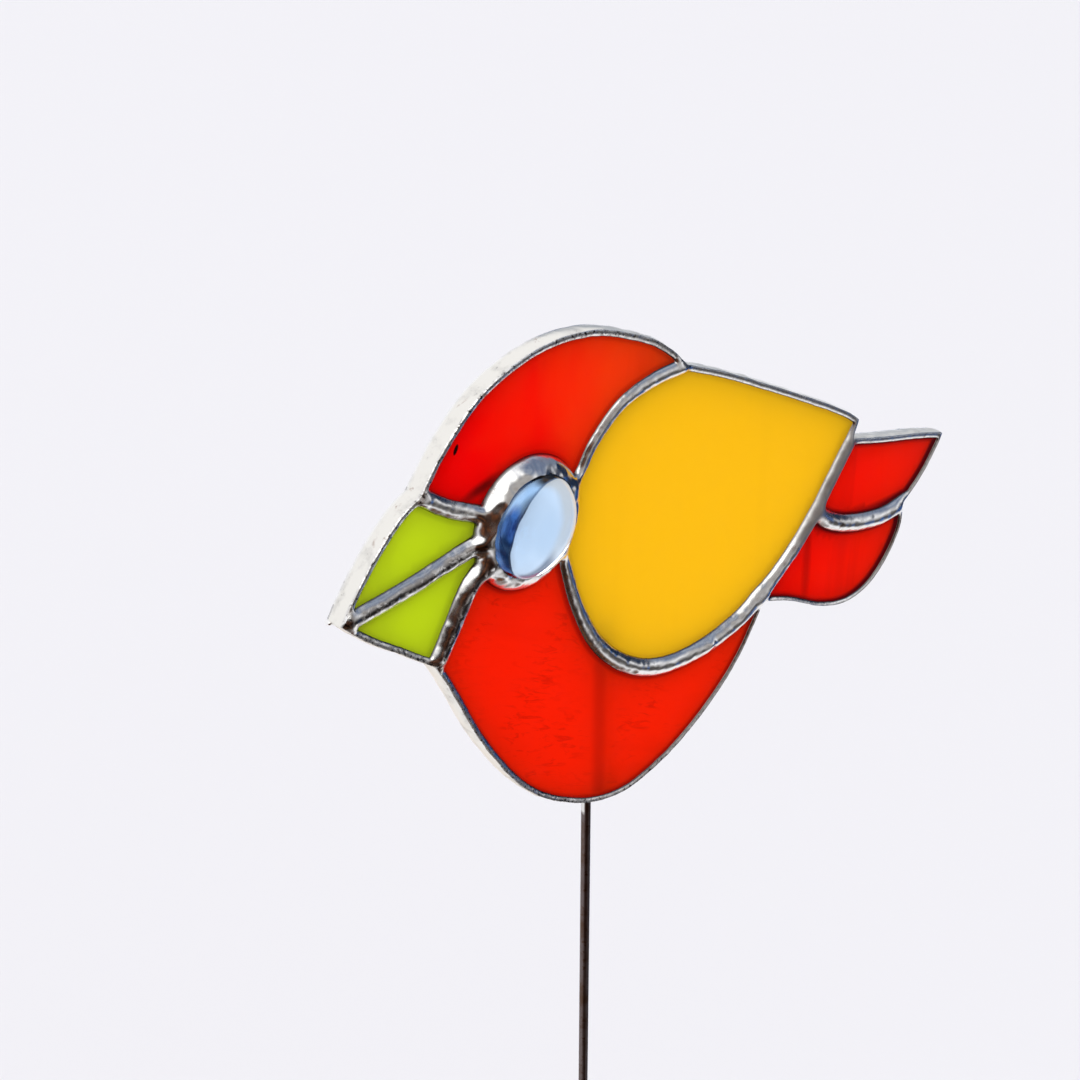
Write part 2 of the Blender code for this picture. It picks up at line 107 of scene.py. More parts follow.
@contextmanager
def editing(thing: Thing) -> Iterator[None]:
    """Work on the whole of an object's mesh in edit mode."""
    select_only(thing)
    bpy.ops.object.mode_set(mode="EDIT")
    bpy.ops.mesh.select_all(action="SELECT")
    yield
    bpy.ops.object.mode_set(mode="OBJECT")


def closed_up(thing: Thing, merge: float = 0.00001, smooth_degrees: float = 60.0) -> None:
    """Merge doubled points, turn every face outwards and shade smooth up to an angle.

    Args:
        thing: the mesh object.
        merge: points closer than this, in metres, become one.
        smooth_degrees: edges that turn more than this stay sharp.
    """
    with editing(thing):
        bpy.ops.mesh.remove_doubles(threshold=merge)
        bpy.ops.mesh.normals_make_consistent(inside=False)
    bpy.ops.object.shade_smooth_by_angle(angle=math.radians(smooth_degrees))


def meshed(name: str, vertices: list, faces: list) -> Thing:
    """A new mesh object from points in millimetres and faces."""
    mesh = bpy.data.meshes.new(name)
    mesh.from_pydata([tuple(float(value) * MM for value in vertex) for vertex in vertices], [], faces)
    thing = bpy.data.objects.new(name, mesh)
    bpy.context.scene.collection.objects.link(thing)
    return thing


def write_values(thing: Thing, name: str, values: Array) -> None:
    """Store a number for each point of a mesh, for its finish to read."""
    layer = thing.data.attributes.new(name, "FLOAT", "POINT")
    layer.data.foreach_set("value", values.astype(np.float32))


def dressed(thing: Thing, material: Material) -> None:
    """Give an object one material alone."""
    thing.data.materials.clear()
    thing.data.materials.append(material)


# The pattern


@dataclass(frozen=True)
class Side:
    """One short straight stretch of a pane's border, in millimetres."""

    start: Vector
    end: Vector
    kind: Border
    reach: float


# Where the seams leave the eye, in degrees from the tail side against the clock
EYE_ANGLES = {"neck": 16.0, "brow": 155.0, "bill": 180.0, "throat": 205.0, "breast": -36.0}
# Points that each border passes between its ends
BENDS = {
    "bill_top": [(-56.8, 62.0), (-52.0, 68.0), (-46.6, 73.2)],
    "crown": [(-36.7, 82.7), (-28.3, 89.8), (-16.0, 94.0), (-3.6, 93.8), (7.9, 89.8), (14.4, 86.1)],
    "wing_top": [(29.9, 77.1), (42.6, 71.0), (57.3, 63.6), (65.0, 59.4)],
    "wing_end_edge": [],
    "tail_top": [(77.7, 50.4), (87.6, 48.2)],
    "tail_fan": [(90.4, 38.6), (94.4, 43.4)],
    "tail_bottom": [(50.6, 24.0), (60.2, 19.4), (68.1, 17.5), (74.9, 18.8), (80.4, 23.0), (84.1, 28.7)],
    "belly": [
        (36.0, 16.7), (26.9, 8.8), (16.2, 3.0), (4.4, 0.3),
        (-7.4, 3.3), (-19.2, 11.2), (-29.1, 24.2), (-36.3, 37.7),
    ],
    "bill_bottom": [(-47.2, 49.2), (-54.0, 54.0)],
    "neck": [(-6.3, 69.2), (-3.1, 73.6), (3.2, 78.6), (11.1, 80.9)],
    "breast": [
        (-9.8, 52.4), (-6.6, 42.7), (-1.7, 33.9), (5.8, 27.0),
        (15.0, 23.2), (25.8, 22.9), (35.7, 25.2),
    ],
    "vent": [],
    "tail_root": [(46.8, 31.5), (52.8, 36.5)],
    "wing_end": [(62.9, 48.4)],
    "tail_split": [(61.4, 37.7), (68.0, 34.9), (77.4, 33.2)],
    "brow": [(-36.2, 71.7)],
    "bill": [(-44.7, 60.5)],
    "throat": [(-35.7, 50.4), (-32.2, 56.0)],
}
# How far the edging laps onto the glass at each end of a border
LAPS = {"belly": (0.7, 1.1), "tail_bottom": (0.75, 0.75), "tail_fan": (0.75, 0.75)}
USUAL_LAP = (1.1, 1.1)
# How wide each seam is at its ends
SEAM_WIDTHS = {
    "neck": (2.5, 3.1), "breast": (2.4, 4.5), "vent": (3.4, 3.4),
    "tail_root": (4.0, 3.7), "wing_end": (3.5, 3.7), "tail_split": (3.5, 4.2),
    "brow": (3.1, 3.3), "bill": (3.7, 3.9), "throat": (4.2, 4.5),
}
# The faces of the panes, measured from the rod's axis towards the back
GLASS_FRONT = -4.9
GLASS_BACK = -1.9


@dataclass
class Pattern:
    """The full-size drawing that the panes are cut from, x towards the tail and z up, in millimetres."""

    step: float = 0.5
    eye: Point = (-19.0, 63.6)
    eye_border: float = 10.35
    collar_skirt: float = 1.8
    rod_across: float = 0.6
    lowest: float = 0.3
    rod_free_length: float = 250.0
    beak_tip: Point = (-59.1, 58.5)
    beak_top: Point = (-42.2, 75.8)
    nape: Point = (19.4, 81.5)
    wing_tip: Point = (68.6, 56.9)
    wing_notch: Point = (66.8, 53.2)
    tail_tip: Point = (96.0, 46.0)
    tail_notch: Point = (84.6, 33.9)
    vent_notch: Point = (42.9, 26.6)
    throat_notch: Point = (-39.8, 43.9)
    vent: Point = (42.3, 28.6)
    tail_fork: Point = (57.2, 41.2)

    def place(self, point: Point) -> Vector:
        """A point of the drawing from the rod's axis and the ground."""
        return Vector((point[0] - self.rod_across, self.rod_free_length + point[1] - self.lowest))

    def eye_point(self, degrees: float, radius: float) -> Vector:
        """A point round the eye, from the tail side against the clock."""
        turn = math.radians(degrees)
        return self.place(self.eye) + radius * Vector((math.cos(turn), math.sin(turn)))

    def curve(self, points: list[Vector]) -> list[Vector]:
        """Points a step apart along a smooth curve through the given ones.

        Args:
            points: where the curve passes, ends included.

        Returns:
            The curve's points from the first end to the last.
        """
        padded = [2 * points[0] - points[1]] + points + [2 * points[-1] - points[-2]]
        curve = [points[0]]
        for before, start, end, after in zip(padded, padded[1:], padded[2:], padded[3:]):
            steps = max(1, round((end - start).length / self.step))
            for i in range(1, steps + 1):
                t = i / steps
                square = (2 * before - 5 * start + 4 * end - after) * t ** 2
                cube = (3 * start - before - 3 * end + after) * t ** 3
                curve.append(0.5 * (2 * start + (end - before) * t + square + cube))
        return curve

    def sides(self, points: list[Vector], kind: Border, reaches: Point) -> list[Side]:
        """Sides between successive points, their reach running evenly from the first value to the last."""
        count = len(points) - 1
        first, last = reaches
        reach = [first + (last - first) * (i + 0.5) / count for i in range(count)]
        return [Side(points[i], points[i + 1], kind, reach[i]) for i in range(count)]

    def edge(self, name: str, start: Point, end: Point) -> list[Side]:
        """A stretch of the outline."""
        points = [self.place(point) for point in [start] + BENDS[name] + [end]]
        return self.sides(self.curve(points), Border.EDGE, LAPS.get(name, USUAL_LAP))

    def seam(self, name: str, start: Vector, end: Vector) -> list[Side]:
        """A seam's centre line."""
        points = [start] + [self.place(point) for point in BENDS[name]] + [end]
        first, last = SEAM_WIDTHS[name]
        return self.sides(self.curve(points), Border.SEAM, (first / 2, last / 2))

    def eye_arc(self, first: str, last: str) -> list[Side]:
        """The eye's circle from one seam round to the next."""
        start = EYE_ANGLES[first]
        sweep = (EYE_ANGLES[last] - start) % 360
        count = max(2, round(math.radians(sweep) * self.eye_border / self.step))
        points = [self.eye_point(start + sweep * i / count, self.eye_border) for i in range(count + 1)]
        return self.sides(points, Border.EYE, (self.collar_skirt, self.collar_skirt))

    def borders(self) -> dict[str, list[Side]]:
        """Every border once, running clockwise round the bird or out from the eye."""
        ends = {name: self.eye_point(angle, self.eye_border) for name, angle in EYE_ANGLES.items()}
        vent, fork = self.place(self.vent), self.place(self.tail_fork)
        edges = {
            "bill_top": (self.beak_tip, self.beak_top),
            "crown": (self.beak_top, self.nape),
            "wing_top": (self.nape, self.wing_tip),
            "wing_end_edge": (self.wing_tip, self.wing_notch),
            "tail_top": (self.wing_notch, self.tail_tip),
            "tail_fan": (self.tail_notch, self.tail_tip),
            "tail_bottom": (self.vent_notch, self.tail_notch),
            "belly": (self.vent_notch, self.throat_notch),
            "bill_bottom": (self.throat_notch, self.beak_tip),
        }
        seams = {
            "neck": (ends["neck"], self.place(self.nape)),
            "breast": (ends["breast"], vent),
            "vent": (vent, self.place(self.vent_notch)),
            "tail_root": (vent, fork),
            "wing_end": (fork, self.place(self.wing_notch)),
            "tail_split": (fork, self.place(self.tail_notch)),
            "brow": (self.place(self.beak_top), ends["brow"]),
            "bill": (self.place(self.beak_tip), ends["bill"]),
            "throat": (self.place(self.throat_notch), ends["throat"]),
        }
        found = {name: self.edge(name, *places) for name, places in edges.items()}
        found.update({name: self.seam(name, *places) for name, places in seams.items()})
        for name in ("tail_fan", "tail_bottom", "brow", "bill", "throat"):
            found[name] = turned(found[name])
        return found

    def cells(self) -> dict[str, list[Side]]:
        """Each pane's border, clockwise, up to the middle of its seams."""
        b, arc = self.borders(), self.eye_arc
        return {
            "head_glass": b["crown"] + turned(b["neck"]) + arc("neck", "brow") + b["brow"],
            "upper_beak_glass": b["bill_top"] + turned(b["brow"]) + arc("brow", "bill") + b["bill"],
            "lower_beak_glass": (
                turned(b["bill"]) + arc("bill", "throat") + b["throat"] + b["bill_bottom"]
            ),
            "breast_glass": (
                turned(b["throat"]) + arc("throat", "breast") + b["breast"] + b["vent"] + b["belly"]
            ),
            "wing_glass": (
                b["neck"] + b["wing_top"] + b["wing_end_edge"] + turned(b["wing_end"])
                + turned(b["tail_root"]) + turned(b["breast"]) + arc("breast", "neck")
            ),
            "lower_tail_glass": b["tail_root"] + b["tail_split"] + b["tail_bottom"] + turned(b["vent"]),
            "upper_tail_glass": b["wing_end"] + b["tail_top"] + b["tail_fan"] + turned(b["tail_split"]),
        }

    def outline(self) -> Array:
        """The bird's outline, clockwise."""
        b = self.borders()
        order = (
            "bill_top", "crown", "wing_top", "wing_end_edge", "tail_top",
            "tail_fan", "tail_bottom", "belly", "bill_bottom",
        )
        return np.array([side.start[:] for name in order for side in b[name]])


def turned(sides: list[Side]) -> list[Side]:
    """The same sides, run the other way."""
    return [Side(side.end, side.start, side.kind, side.reach) for side in reversed(sides)]


def crossing(first: Vector, first_way: Vector, second: Vector, second_way: Vector) -> Vector:
    """Where two lines cross, or the middle between their points where they are nearly one line."""
    nearly_one_line = 0.06
    cross = first_way.x * second_way.y - first_way.y * second_way.x
    if abs(cross) < nearly_one_line:
        return (first + second) / 2
    apart = second - first
    return first + first_way * ((apart.x * second_way.y - apart.y * second_way.x) / cross)


def moved_in(sides: list[Side], distances: list[float]) -> Array:
    """A pane's border with each side moved in by its own distance.

    Args:
        sides: the pane's border, clockwise.
        distances: one for each side, in millimetres.

    Returns:
        The corners of the smaller outline, those of swallowed sides left out.
    """
    ways = [(side.end - side.start).normalized() for side in sides]
    offsets = [Vector((way.y, -way.x)) * distance for way, distance in zip(ways, distances)]
    kept = list(range(len(sides)))
    while True:
        corners = {
            after: crossing(sides[before].end + offsets[before], ways[before],
                            sides[after].start + offsets[after], ways[after])
            for before, after in zip(kept[-1:] + kept[:-1], kept)
        }
        followers = zip(kept, kept[1:] + kept[:1])
        runs = {i: (corners[after] - corners[i]).dot(ways[i]) for i, after in followers}
        worst = min(kept, key=runs.get)
        if runs[worst] > 0:
            return np.array([corners[i][:] for i in kept])
        kept.remove(worst)


def window_edge(sides: list[Side]) -> Array:
    """Where the solder ends on a pane."""
    return moved_in(sides, [side.reach for side in sides])


# Plane geometry on closed rings of points


def evenly_spaced(ring: Array, spacing: float) -> Array:
    """The same closed ring with points about a spacing apart."""
    closed = np.vstack([ring, ring[:1]])
    lengths = np.linalg.norm(np.diff(closed, axis=0), axis=1)
    along = np.concatenate([[0.0], np.cumsum(lengths)])
    count = max(8, round(along[-1] / spacing))
    wanted = np.arange(count) * along[-1] / count
    return np.stack([np.interp(wanted, along, closed[:, i]) for i in (0, 1)], axis=1)


def softened(ring: Array, passes: int) -> Array:
    """The ring with its corners rounded, a little more by each pass."""
    for _ in range(passes):
        ring = 0.5 * ring + 0.25 * (np.roll(ring, 1, axis=0) + np.roll(ring, -1, axis=0))
    return ring


def outward(ring: Array) -> Array:
    """Unit normals that point out of a clockwise ring."""
    along = np.roll(ring, -1, axis=0) - np.roll(ring, 1, axis=0)
    along /= np.linalg.norm(along, axis=1)[:, None]
    return np.stack([-along[:, 1], along[:, 0]], axis=1)


def inside(points: Array, ring: Array) -> Array:
    """Which points lie inside a closed ring."""
    found = np.zeros(len(points), dtype=bool)
    for (x1, y1), (x2, y2) in zip(ring, np.roll(ring, -1, axis=0)):
        straddles = (y1 > points[:, 1]) != (y2 > points[:, 1])
        with np.errstate(divide="ignore", invalid="ignore"):
            across = x1 + (points[:, 1] - y1) * (x2 - x1) / (y2 - y1)
        found ^= straddles & (points[:, 0] < across)
    return found


def clearance(points: Array, rings: list[Array]) -> Array:
    """Each point's distance to the nearest ring point."""
    known = np.vstack(rings)
    tree = KDTree(len(known))
    for i, (x, y) in enumerate(known):
        tree.insert((x, y, 0), i)
    tree.balance()
    return np.array([tree.find((x, y, 0))[2] for x, y in points])


def waves(points: Array, scale: float, level: float) -> Array:
    """Smooth unevenness from -1 to 1 at points of the drawing."""
    return np.array([noise.noise((x * scale, level, z * scale)) for x, z in points])


@dataclass
class Film:
    """A sheet of triangles that fills the metal's outline between its rings."""

    points: Array
    triangles: Array
    loops: list[Array]

    @classmethod
    def between(cls, outer: Array, holes: list[Array], spacing: float,
                rows: tuple[float, ...]) -> "Film":
        """Fill the space inside one ring and outside others with even triangles.

        Args:
            outer: the clockwise outer ring.
            holes: the clockwise rings of the openings.
            spacing: distance between points, in millimetres.
            rows: distances of the extra rows of points that follow each ring.

        Returns:
            The film, whose loops list each ring's point numbers in order.
        """
        rings = [outer] + holes
        rows_of_points = []
        for number, ring in enumerate(rings):
            normals = outward(ring) * (-1 if number == 0 else 1)
            for row in rows:
                moved = ring + normals * row
                rows_of_points.append(moved[clearance(moved, rings) > 0.85 * row])
        low, high = outer.min(axis=0), outer.max(axis=0)
        across = np.arange(low[0], high[0], spacing)
        up = np.arange(low[1], high[1], spacing * math.sqrt(0.75))
        grid_x, grid_y = np.meshgrid(across, up)
        grid_x[1::2] += spacing / 2
        grid = np.stack([grid_x.ravel(), grid_y.ravel()], axis=1)
        grid = grid[cls.metal(grid, outer, holes)]
        extra = np.vstack(rows_of_points + [grid])
        limit = np.full(len(extra), max(rows) + 0.45 * spacing)
        limit[: len(extra) - len(grid)] = 0.5 * min(rows)
        extra = extra[clearance(extra, rings) > limit]
        extra = extra[cls.metal(extra, outer, holes)]
        points = np.vstack(rings + [extra])
        edges: list[tuple[int, int]] = []
        loops, start = [], 0
        for ring in rings:
            loop = np.arange(start, start + len(ring))
            loops.append(loop)
            edges += list(zip(loop.tolist(), np.roll(loop, -1).tolist()))
            start += len(ring)
        out_points, _, out_faces, origins, _, _ = delaunay_2d_cdt(
            [Vector(point) for point in points], edges, [], 0, 1e-5
        )
        place = np.zeros(len(points), dtype=int)
        for new, olds in enumerate(origins):
            for old in olds:
                place[old] = new
        found = np.array([point[:] for point in out_points])
        triangles = np.array([face for face in out_faces if len(face) == 3])
        triangles = triangles[cls.metal(found[triangles].mean(axis=1), outer, holes)]
        return cls(found, triangles, [place[loop] for loop in loops])

    @staticmethod
    def metal(points: Array, outer: Array, holes: list[Array]) -> Array:
        """Which points lie on the metal."""
        found = inside(points, outer)
        for hole in holes:
            found &= ~inside(points, hole)
        return found

    def settled(self, held: dict[int, float | Array], rounds: int = 500) -> Array:
        """How far liquid metal bulges between edges that are held, as a stretched skin under even pressure.

        Args:
            held: the value kept at each ring, by the ring's number.
            rounds: the most steps that the sum may take.

        Returns:
            The bulge at each point, half the square of the distance to the edge in a straight seam.
        """
        count = len(self.points)
        rows, columns, weights = [], [], []
        areas = np.zeros(count)
        for i in range(3):
            apex, first, second = (self.triangles[:, (i + j) % 3] for j in range(3))
            one, other = self.points[first] - self.points[apex], self.points[second] - self.points[apex]
            cross = np.abs(one[:, 0] * other[:, 1] - one[:, 1] * other[:, 0])
            weights.append(0.5 * (one * other).sum(axis=1) / np.maximum(cross, 1e-7))
            rows.append(first)
            columns.append(second)
            areas += np.bincount(apex, cross / 6, count)
        row, column = np.concatenate(rows), np.concatenate(columns)
        weight = np.clip(np.concatenate(weights), 1e-3, 30)
        diagonal = np.bincount(row, weight, count) + np.bincount(column, weight, count)
        diagonal = np.maximum(diagonal, 1e-9)
        free = np.ones(count, dtype=bool)
        bulge = np.zeros(count)
        for number, value in held.items():
            free[self.loops[number]] = False
            bulge[self.loops[number]] = value

        def pull(x: Array) -> Array:
            """The skin's pull at each point."""
            before = np.bincount(row, weight * x[column], count)
            return diagonal * x - before - np.bincount(column, weight * x[row], count)

        left = np.where(free, areas - pull(bulge), 0.0)
        step = left / diagonal
        way = step.copy()
        size = left @ step
        for _ in range(rounds):
            pulled = np.where(free, pull(way), 0.0)
            share = size / max(way @ pulled, 1e-30)
            bulge += share * way
            left -= share * pulled
            step = left / diagonal
            new_size = left @ step
            if new_size < 1e-14 * count:
                break
            way = step + (new_size / size) * way
            size = new_size
        return np.maximum(bulge, 0.0)


# Finishes


class Nodes:
    """A node tree, with short ways to add the nodes that the finishes and the light share."""

    def __init__(self, owner: Material | bpy.types.World, output: str) -> None:
        """Start an empty tree.

        Args:
            owner: the material or the world that it is for.
            output: the type of its output node without its ShaderNode prefix.
        """
        owner.use_nodes = True
        self.owner = owner
        self.tree = owner.node_tree
        self.tree.nodes.clear()
        self.out = self.add(output)

    def add(self, kind: str, settings: dict | None = None, **inputs: object) -> bpy.types.Node:
        """Add a node.

        Args:
            kind: the node's type without its ShaderNode prefix.
            settings: values of the node's own properties.
            inputs: values or sockets for its inputs, spaces in their names written as underscores.

        Returns:
            The node.
        """
        node = self.tree.nodes.new("ShaderNode" + kind)
        for name, value in (settings or {}).items():
            setattr(node, name, value)
        for name, value in inputs.items():
            self.feed(node.inputs[name.replace("_", " ")], value)
        return node

    def feed(self, socket: Socket, value: object) -> None:
        """Link an output to an input, or set the input's own value."""
        if isinstance(value, Socket):
            self.tree.links.new(value, socket)
        elif isinstance(value, tuple) and len(value) == 3 and len(socket.default_value) == 4:
            socket.default_value = (*value, 1.0)
        else:
            socket.default_value = value

    def places(self, lean: float = 0.0, unit: Colour = (1, 1, 1),
               middle: Colour = (0, 0, 0)) -> Socket:
        """The object's coordinates from a middle, turned by a lean in degrees, in units of their own."""
        coordinates = self.add("TexCoord")
        mapping = self.add(
            "Mapping", {"vector_type": "TEXTURE"}, Vector=coordinates.outputs["Object"],
            Rotation=(0.0, math.radians(lean), 0.0), Scale=unit, Location=middle,
        )
        return mapping.outputs["Vector"]

    def grain(self, places: Socket, scale: float, detail: float = 3.0, rough: float = 0.5,
              twist: float = 0.0) -> Socket:
        """Cloudy noise from 0 to 1 at a scale per metre."""
        node = self.add(
            "TexNoise", Vector=places, Scale=scale, Detail=detail, Roughness=rough, Distortion=twist
        )
        return node.outputs["Fac"]

    def span(self, value: Socket, low: float, high: float, to_low: float = 0.0,
             to_high: float = 1.0) -> Socket:
        """A value's range mapped smoothly onto another."""
        node = self.add(
            "MapRange", {"interpolation_type": "SMOOTHSTEP"},
            Value=value, From_Min=low, From_Max=high, To_Min=to_low, To_Max=to_high,
        )
        return node.outputs["Result"]

    def sum(self, operation: str, first: object, second: object) -> Socket:
        """One step of arithmetic on two numbers."""
        node = self.add("Math", {"operation": operation})
        self.feed(node.inputs[0], first)
        self.feed(node.inputs[1], second)
        return node.outputs["Value"]

    def times(self, first: object, second: object) -> Socket:
        """The product of two numbers."""
        return self.sum("MULTIPLY", first, second)

    def plus(self, first: object, second: object) -> Socket:
        """The sum of two numbers."""
        return self.sum("ADD", first, second)

    def most(self, first: object, second: object) -> Socket:
        """The greater of two numbers."""
        return self.sum("MAXIMUM", first, second)

    def blend(self, share: Socket, first: object, second: object) -> Socket:
        """A mix of two colours by a share from 0 to 1."""
        node = self.add("Mix", {"data_type": "RGBA"})
        self.feed(node.inputs[0], share)
        self.feed(node.inputs[6], first)
        self.feed(node.inputs[7], second)
        return node.outputs[2]

    def painted(self, name: str) -> Socket:
        """The numbers that a piece keeps at its points under a name."""
        return self.add("Attribute", {"attribute_name": name}).outputs["Fac"]

    def relief(self, height: Socket, depth: float) -> Socket:
        """Normals of a height pattern that is so many metres deep."""
        return self.add("Bump", Height=height, Distance=depth, Strength=1.0).outputs["Normal"]

    def finished(self, shader: Socket) -> Material:
        """Send a shader to the output and give the material back."""
        self.feed(self.out.inputs["Surface"], shader)
        return self.owner


def shading(name: str) -> Nodes:
    """The empty nodes of a new material."""
    return Nodes(bpy.data.materials.new(name), "OutputMaterial")


@dataclass(frozen=True)
class Mark:
    """A long dark fault in a pane, or a painted shadow on it.

    It is in millimetres from the rod and the ground, and leans by degrees from upright.
    """

    across: float
    up: float
    width: float
    length: float
    lean: float
    share: float
    core: float = 0.2


@dataclass(frozen=True)
class GlassFinish:
    """Opalescent sheet glass, lit through from behind, with streaks in its colour.

    The streaks run along a line that leans from upright by so many degrees. From one level across the
    bird to another, in millimetres from the rod, the body colour goes over into the far one.
    """

    name: str
    deep: Colour
    body: Colour
    far: Colour
    lean: float = 0.0
    across: Point = (-40.0, 20.0)
    streak_share: float = 0.25
    hair_share: float = 0.0
    hair_lean: float = -65.0
    painted_rod_shadow: float = 0.0
    rod_across: float = -1.8
    rod_widths: Point = (0.2, 2.7)
    edge_shade: float = 0.5
    marks: tuple[Mark, ...] = ()
    flaw_and_shadow: Colour = (0.012, 0.004, 0.004)
    clearness: float = 0.6
    ripple: float = 0.00003

    def material(self) -> Material:
        """Build the material."""
        s = shading(self.name)
        streaks = s.span(s.grain(s.places(self.lean, (1.0, 1.0, 8.0)), 130.0, 3.0, 0.55, 0.4), 0.50, 0.78)
        clouds = s.grain(s.places(), 38.0, 3.0, 0.5, 0.5)
        apart = s.add("SeparateXYZ", Vector=s.places())
        wander = s.plus(apart.outputs["X"], s.times(s.sum("SUBTRACT", clouds, 0.5), 0.05))
        low, high = self.across
        colour = s.blend(s.span(wander, low * MM, high * MM), self.body, self.far)
        dark = s.times(streaks, self.streak_share)
        if self.hair_share:
            along = s.places(self.hair_lean, (1.0, 1.0, 4.0))
            hairs = s.span(s.grain(along, 900.0, 3.0, 0.6, 1.0), 0.48, 0.70)
            patchy = s.span(clouds, 0.42, 0.60, 0.1, 1.0)
            hairs = s.times(hairs, patchy)
            dark = s.most(dark, s.times(hairs, self.hair_share))
        # Painted shadow: a soft dark band down the glass where the rod stands behind it
        if self.painted_rod_shadow:
            beside = s.sum("ABSOLUTE", s.plus(apart.outputs["X"], -self.rod_across * MM), 0.0)
            core, edge = (width * MM for width in self.rod_widths)
            dark = s.most(dark, s.span(beside, core, edge, self.painted_rod_shadow, 0.0))
        # Painted shade: the glass is darkened next to the solder, more on one side, where the metal would
        # shade it
        dark = s.most(dark, s.times(s.painted("edge"), self.edge_shade))
        colour = s.blend(dark, colour, self.deep)
        # Each mark darkens the glass: a fault in it, or a painted shadow
        for mark in self.marks:
            away = s.add("VectorMath", {"operation": "LENGTH"})
            s.feed(away.inputs[0], s.places(mark.lean, (mark.width * MM, 1000.0, mark.length * MM),
                                            (mark.across * MM, 0.0, mark.up * MM)))
            share = s.span(away.outputs["Value"], mark.core, 1.0, mark.share, 0.0)
            colour = s.blend(share, colour, self.flaw_and_shadow)
        normal = s.relief(s.grain(s.places(self.lean, (1.0, 1.0, 2.0)), 160.0, 2.0), self.ripple)
        gloss = s.span(s.grain(s.places(), 300.0, 2.0), 0.3, 0.7, 0.06, 0.14)
        surface = s.add(
            "BsdfPrincipled", Base_Color=colour, Roughness=gloss, Normal=normal, Specular_IOR_Level=0.2
        )
        through = s.add("BsdfTranslucent", Color=colour, Normal=normal)
        both = s.add("MixShader", Fac=self.clearness)
        s.feed(both.inputs[1], surface.outputs[0])
        s.feed(both.inputs[2], through.outputs[0])
        return s.finished(both.outputs[0])


@dataclass(frozen=True)
class NuggetFinish:
    """Clear blue cast glass, fire polished."""

    name: str = "pale_blue_nugget_glass"
    tint: Colour = (0.96, 0.98, 1.0)
    depth_colour: Colour = (0.20, 0.62, 0.98)
    density: float = 76.0

    def material(self) -> Material:
        """Build the material."""
        s = shading(self.name)
        waves = s.grain(s.places(), 130.0, 2.0)
        surface = s.add(
            "BsdfPrincipled", Base_Color=self.tint, Roughness=0.02, IOR=1.5,
            Transmission_Weight=1.0, Normal=s.relief(waves, 0.00006),
        )
        depth = s.add("VolumeAbsorption", Color=self.depth_colour, Density=self.density)
        s.feed(s.out.inputs["Volume"], depth.outputs[0])
        return s.finished(surface.outputs[0])


@dataclass(frozen=True)
class SolderFinish:
    """Bright tin solder, mottled where flux and handling have dulled it."""

    name: str = "bright_solder"
    tin: Colour = (0.95, 0.94, 0.92)
    cream: Colour = (0.93, 0.90, 0.83)
    dull: Colour = (0.55, 0.53, 0.50)
    stain: Colour = (0.07, 0.055, 0.05)
    worn: Colour = (0.46, 0.43, 0.40)
    tarnish: Colour = (0.30, 0.15, 0.08)
    # Painted shade for the lining of the eye's bore, in a darker and a lighter tone
    shaded: Colour = (0.02, 0.03, 0.05)
    lit: Colour = (0.16, 0.22, 0.32)
    relief: float = 0.00008

    def material(self) -> Material:
        """Build the material."""
        s = shading(self.name)
        places = s.places()
        foot, lap, rim = s.painted("foot"), s.painted("lap"), s.painted("rim")
        clouds = s.grain(places, 260.0, 4.0, 0.6)
        mottle = s.grain(places, 700.0, 4.0, 0.65, 0.8)
        specks = s.grain(places, 1500.0, 3.0, 0.65)
        dulled = s.times(s.span(clouds, 0.50, 0.70), 0.4)
        dulled = s.most(dulled, s.times(lap, s.span(mottle, 0.44, 0.58)))
        colour = s.blend(dulled, s.blend(rim, self.tin, self.cream), self.dull)
        brown = s.span(s.grain(places, 150.0, 3.0, 0.6, 0.5), 0.62, 0.70)
        browned = s.times(brown, s.span(mottle, 0.5, 0.6))
        colour = s.blend(s.times(browned, 0.7), colour, self.tarnish)
        spots = s.span(s.plus(specks, s.times(lap, 0.04)), 0.58, 0.66)
        where = s.most(lap, s.times(foot, 0.9))
        where = s.most(where, s.span(clouds, 0.54, 0.68, 0.0, 0.4))
        edging = s.times(s.span(foot, 0.45, 0.95), 0.85)
        colour = s.blend(s.most(s.times(spots, where), edging), colour, self.stain)
        # Painted shade: the bore behind the eye is coloured dark blue, as the shade inside it
        bore_shade = s.blend(s.span(clouds, 0.46, 0.60), self.shaded, self.lit)
        colour = s.blend(s.painted("bore"), colour, bore_shade)
        rough = s.plus(s.span(clouds, 0.3, 0.8, 0.15, 0.27), s.times(dulled, 0.15))
        rough = s.plus(rough, s.times(rim, 0.14))
        worn = s.painted("worn")
        colour = s.blend(s.times(worn, 0.85), colour, self.worn)
        rough = s.plus(rough, s.times(worn, 0.25))
        crest = s.times(s.painted("crest"), s.span(mottle, 0.40, 0.52))
        colour = s.blend(crest, colour, self.stain)
        pits = s.times(s.times(mottle, lap), 0.7)
        normal = s.relief(s.plus(s.grain(places, 330.0, 2.0, 0.45), pits), self.relief)
        surface = s.add(
            "BsdfPrincipled", Base_Color=colour, Roughness=rough, Metallic=1.0, Normal=normal
        )
        return s.finished(surface.outputs[0])


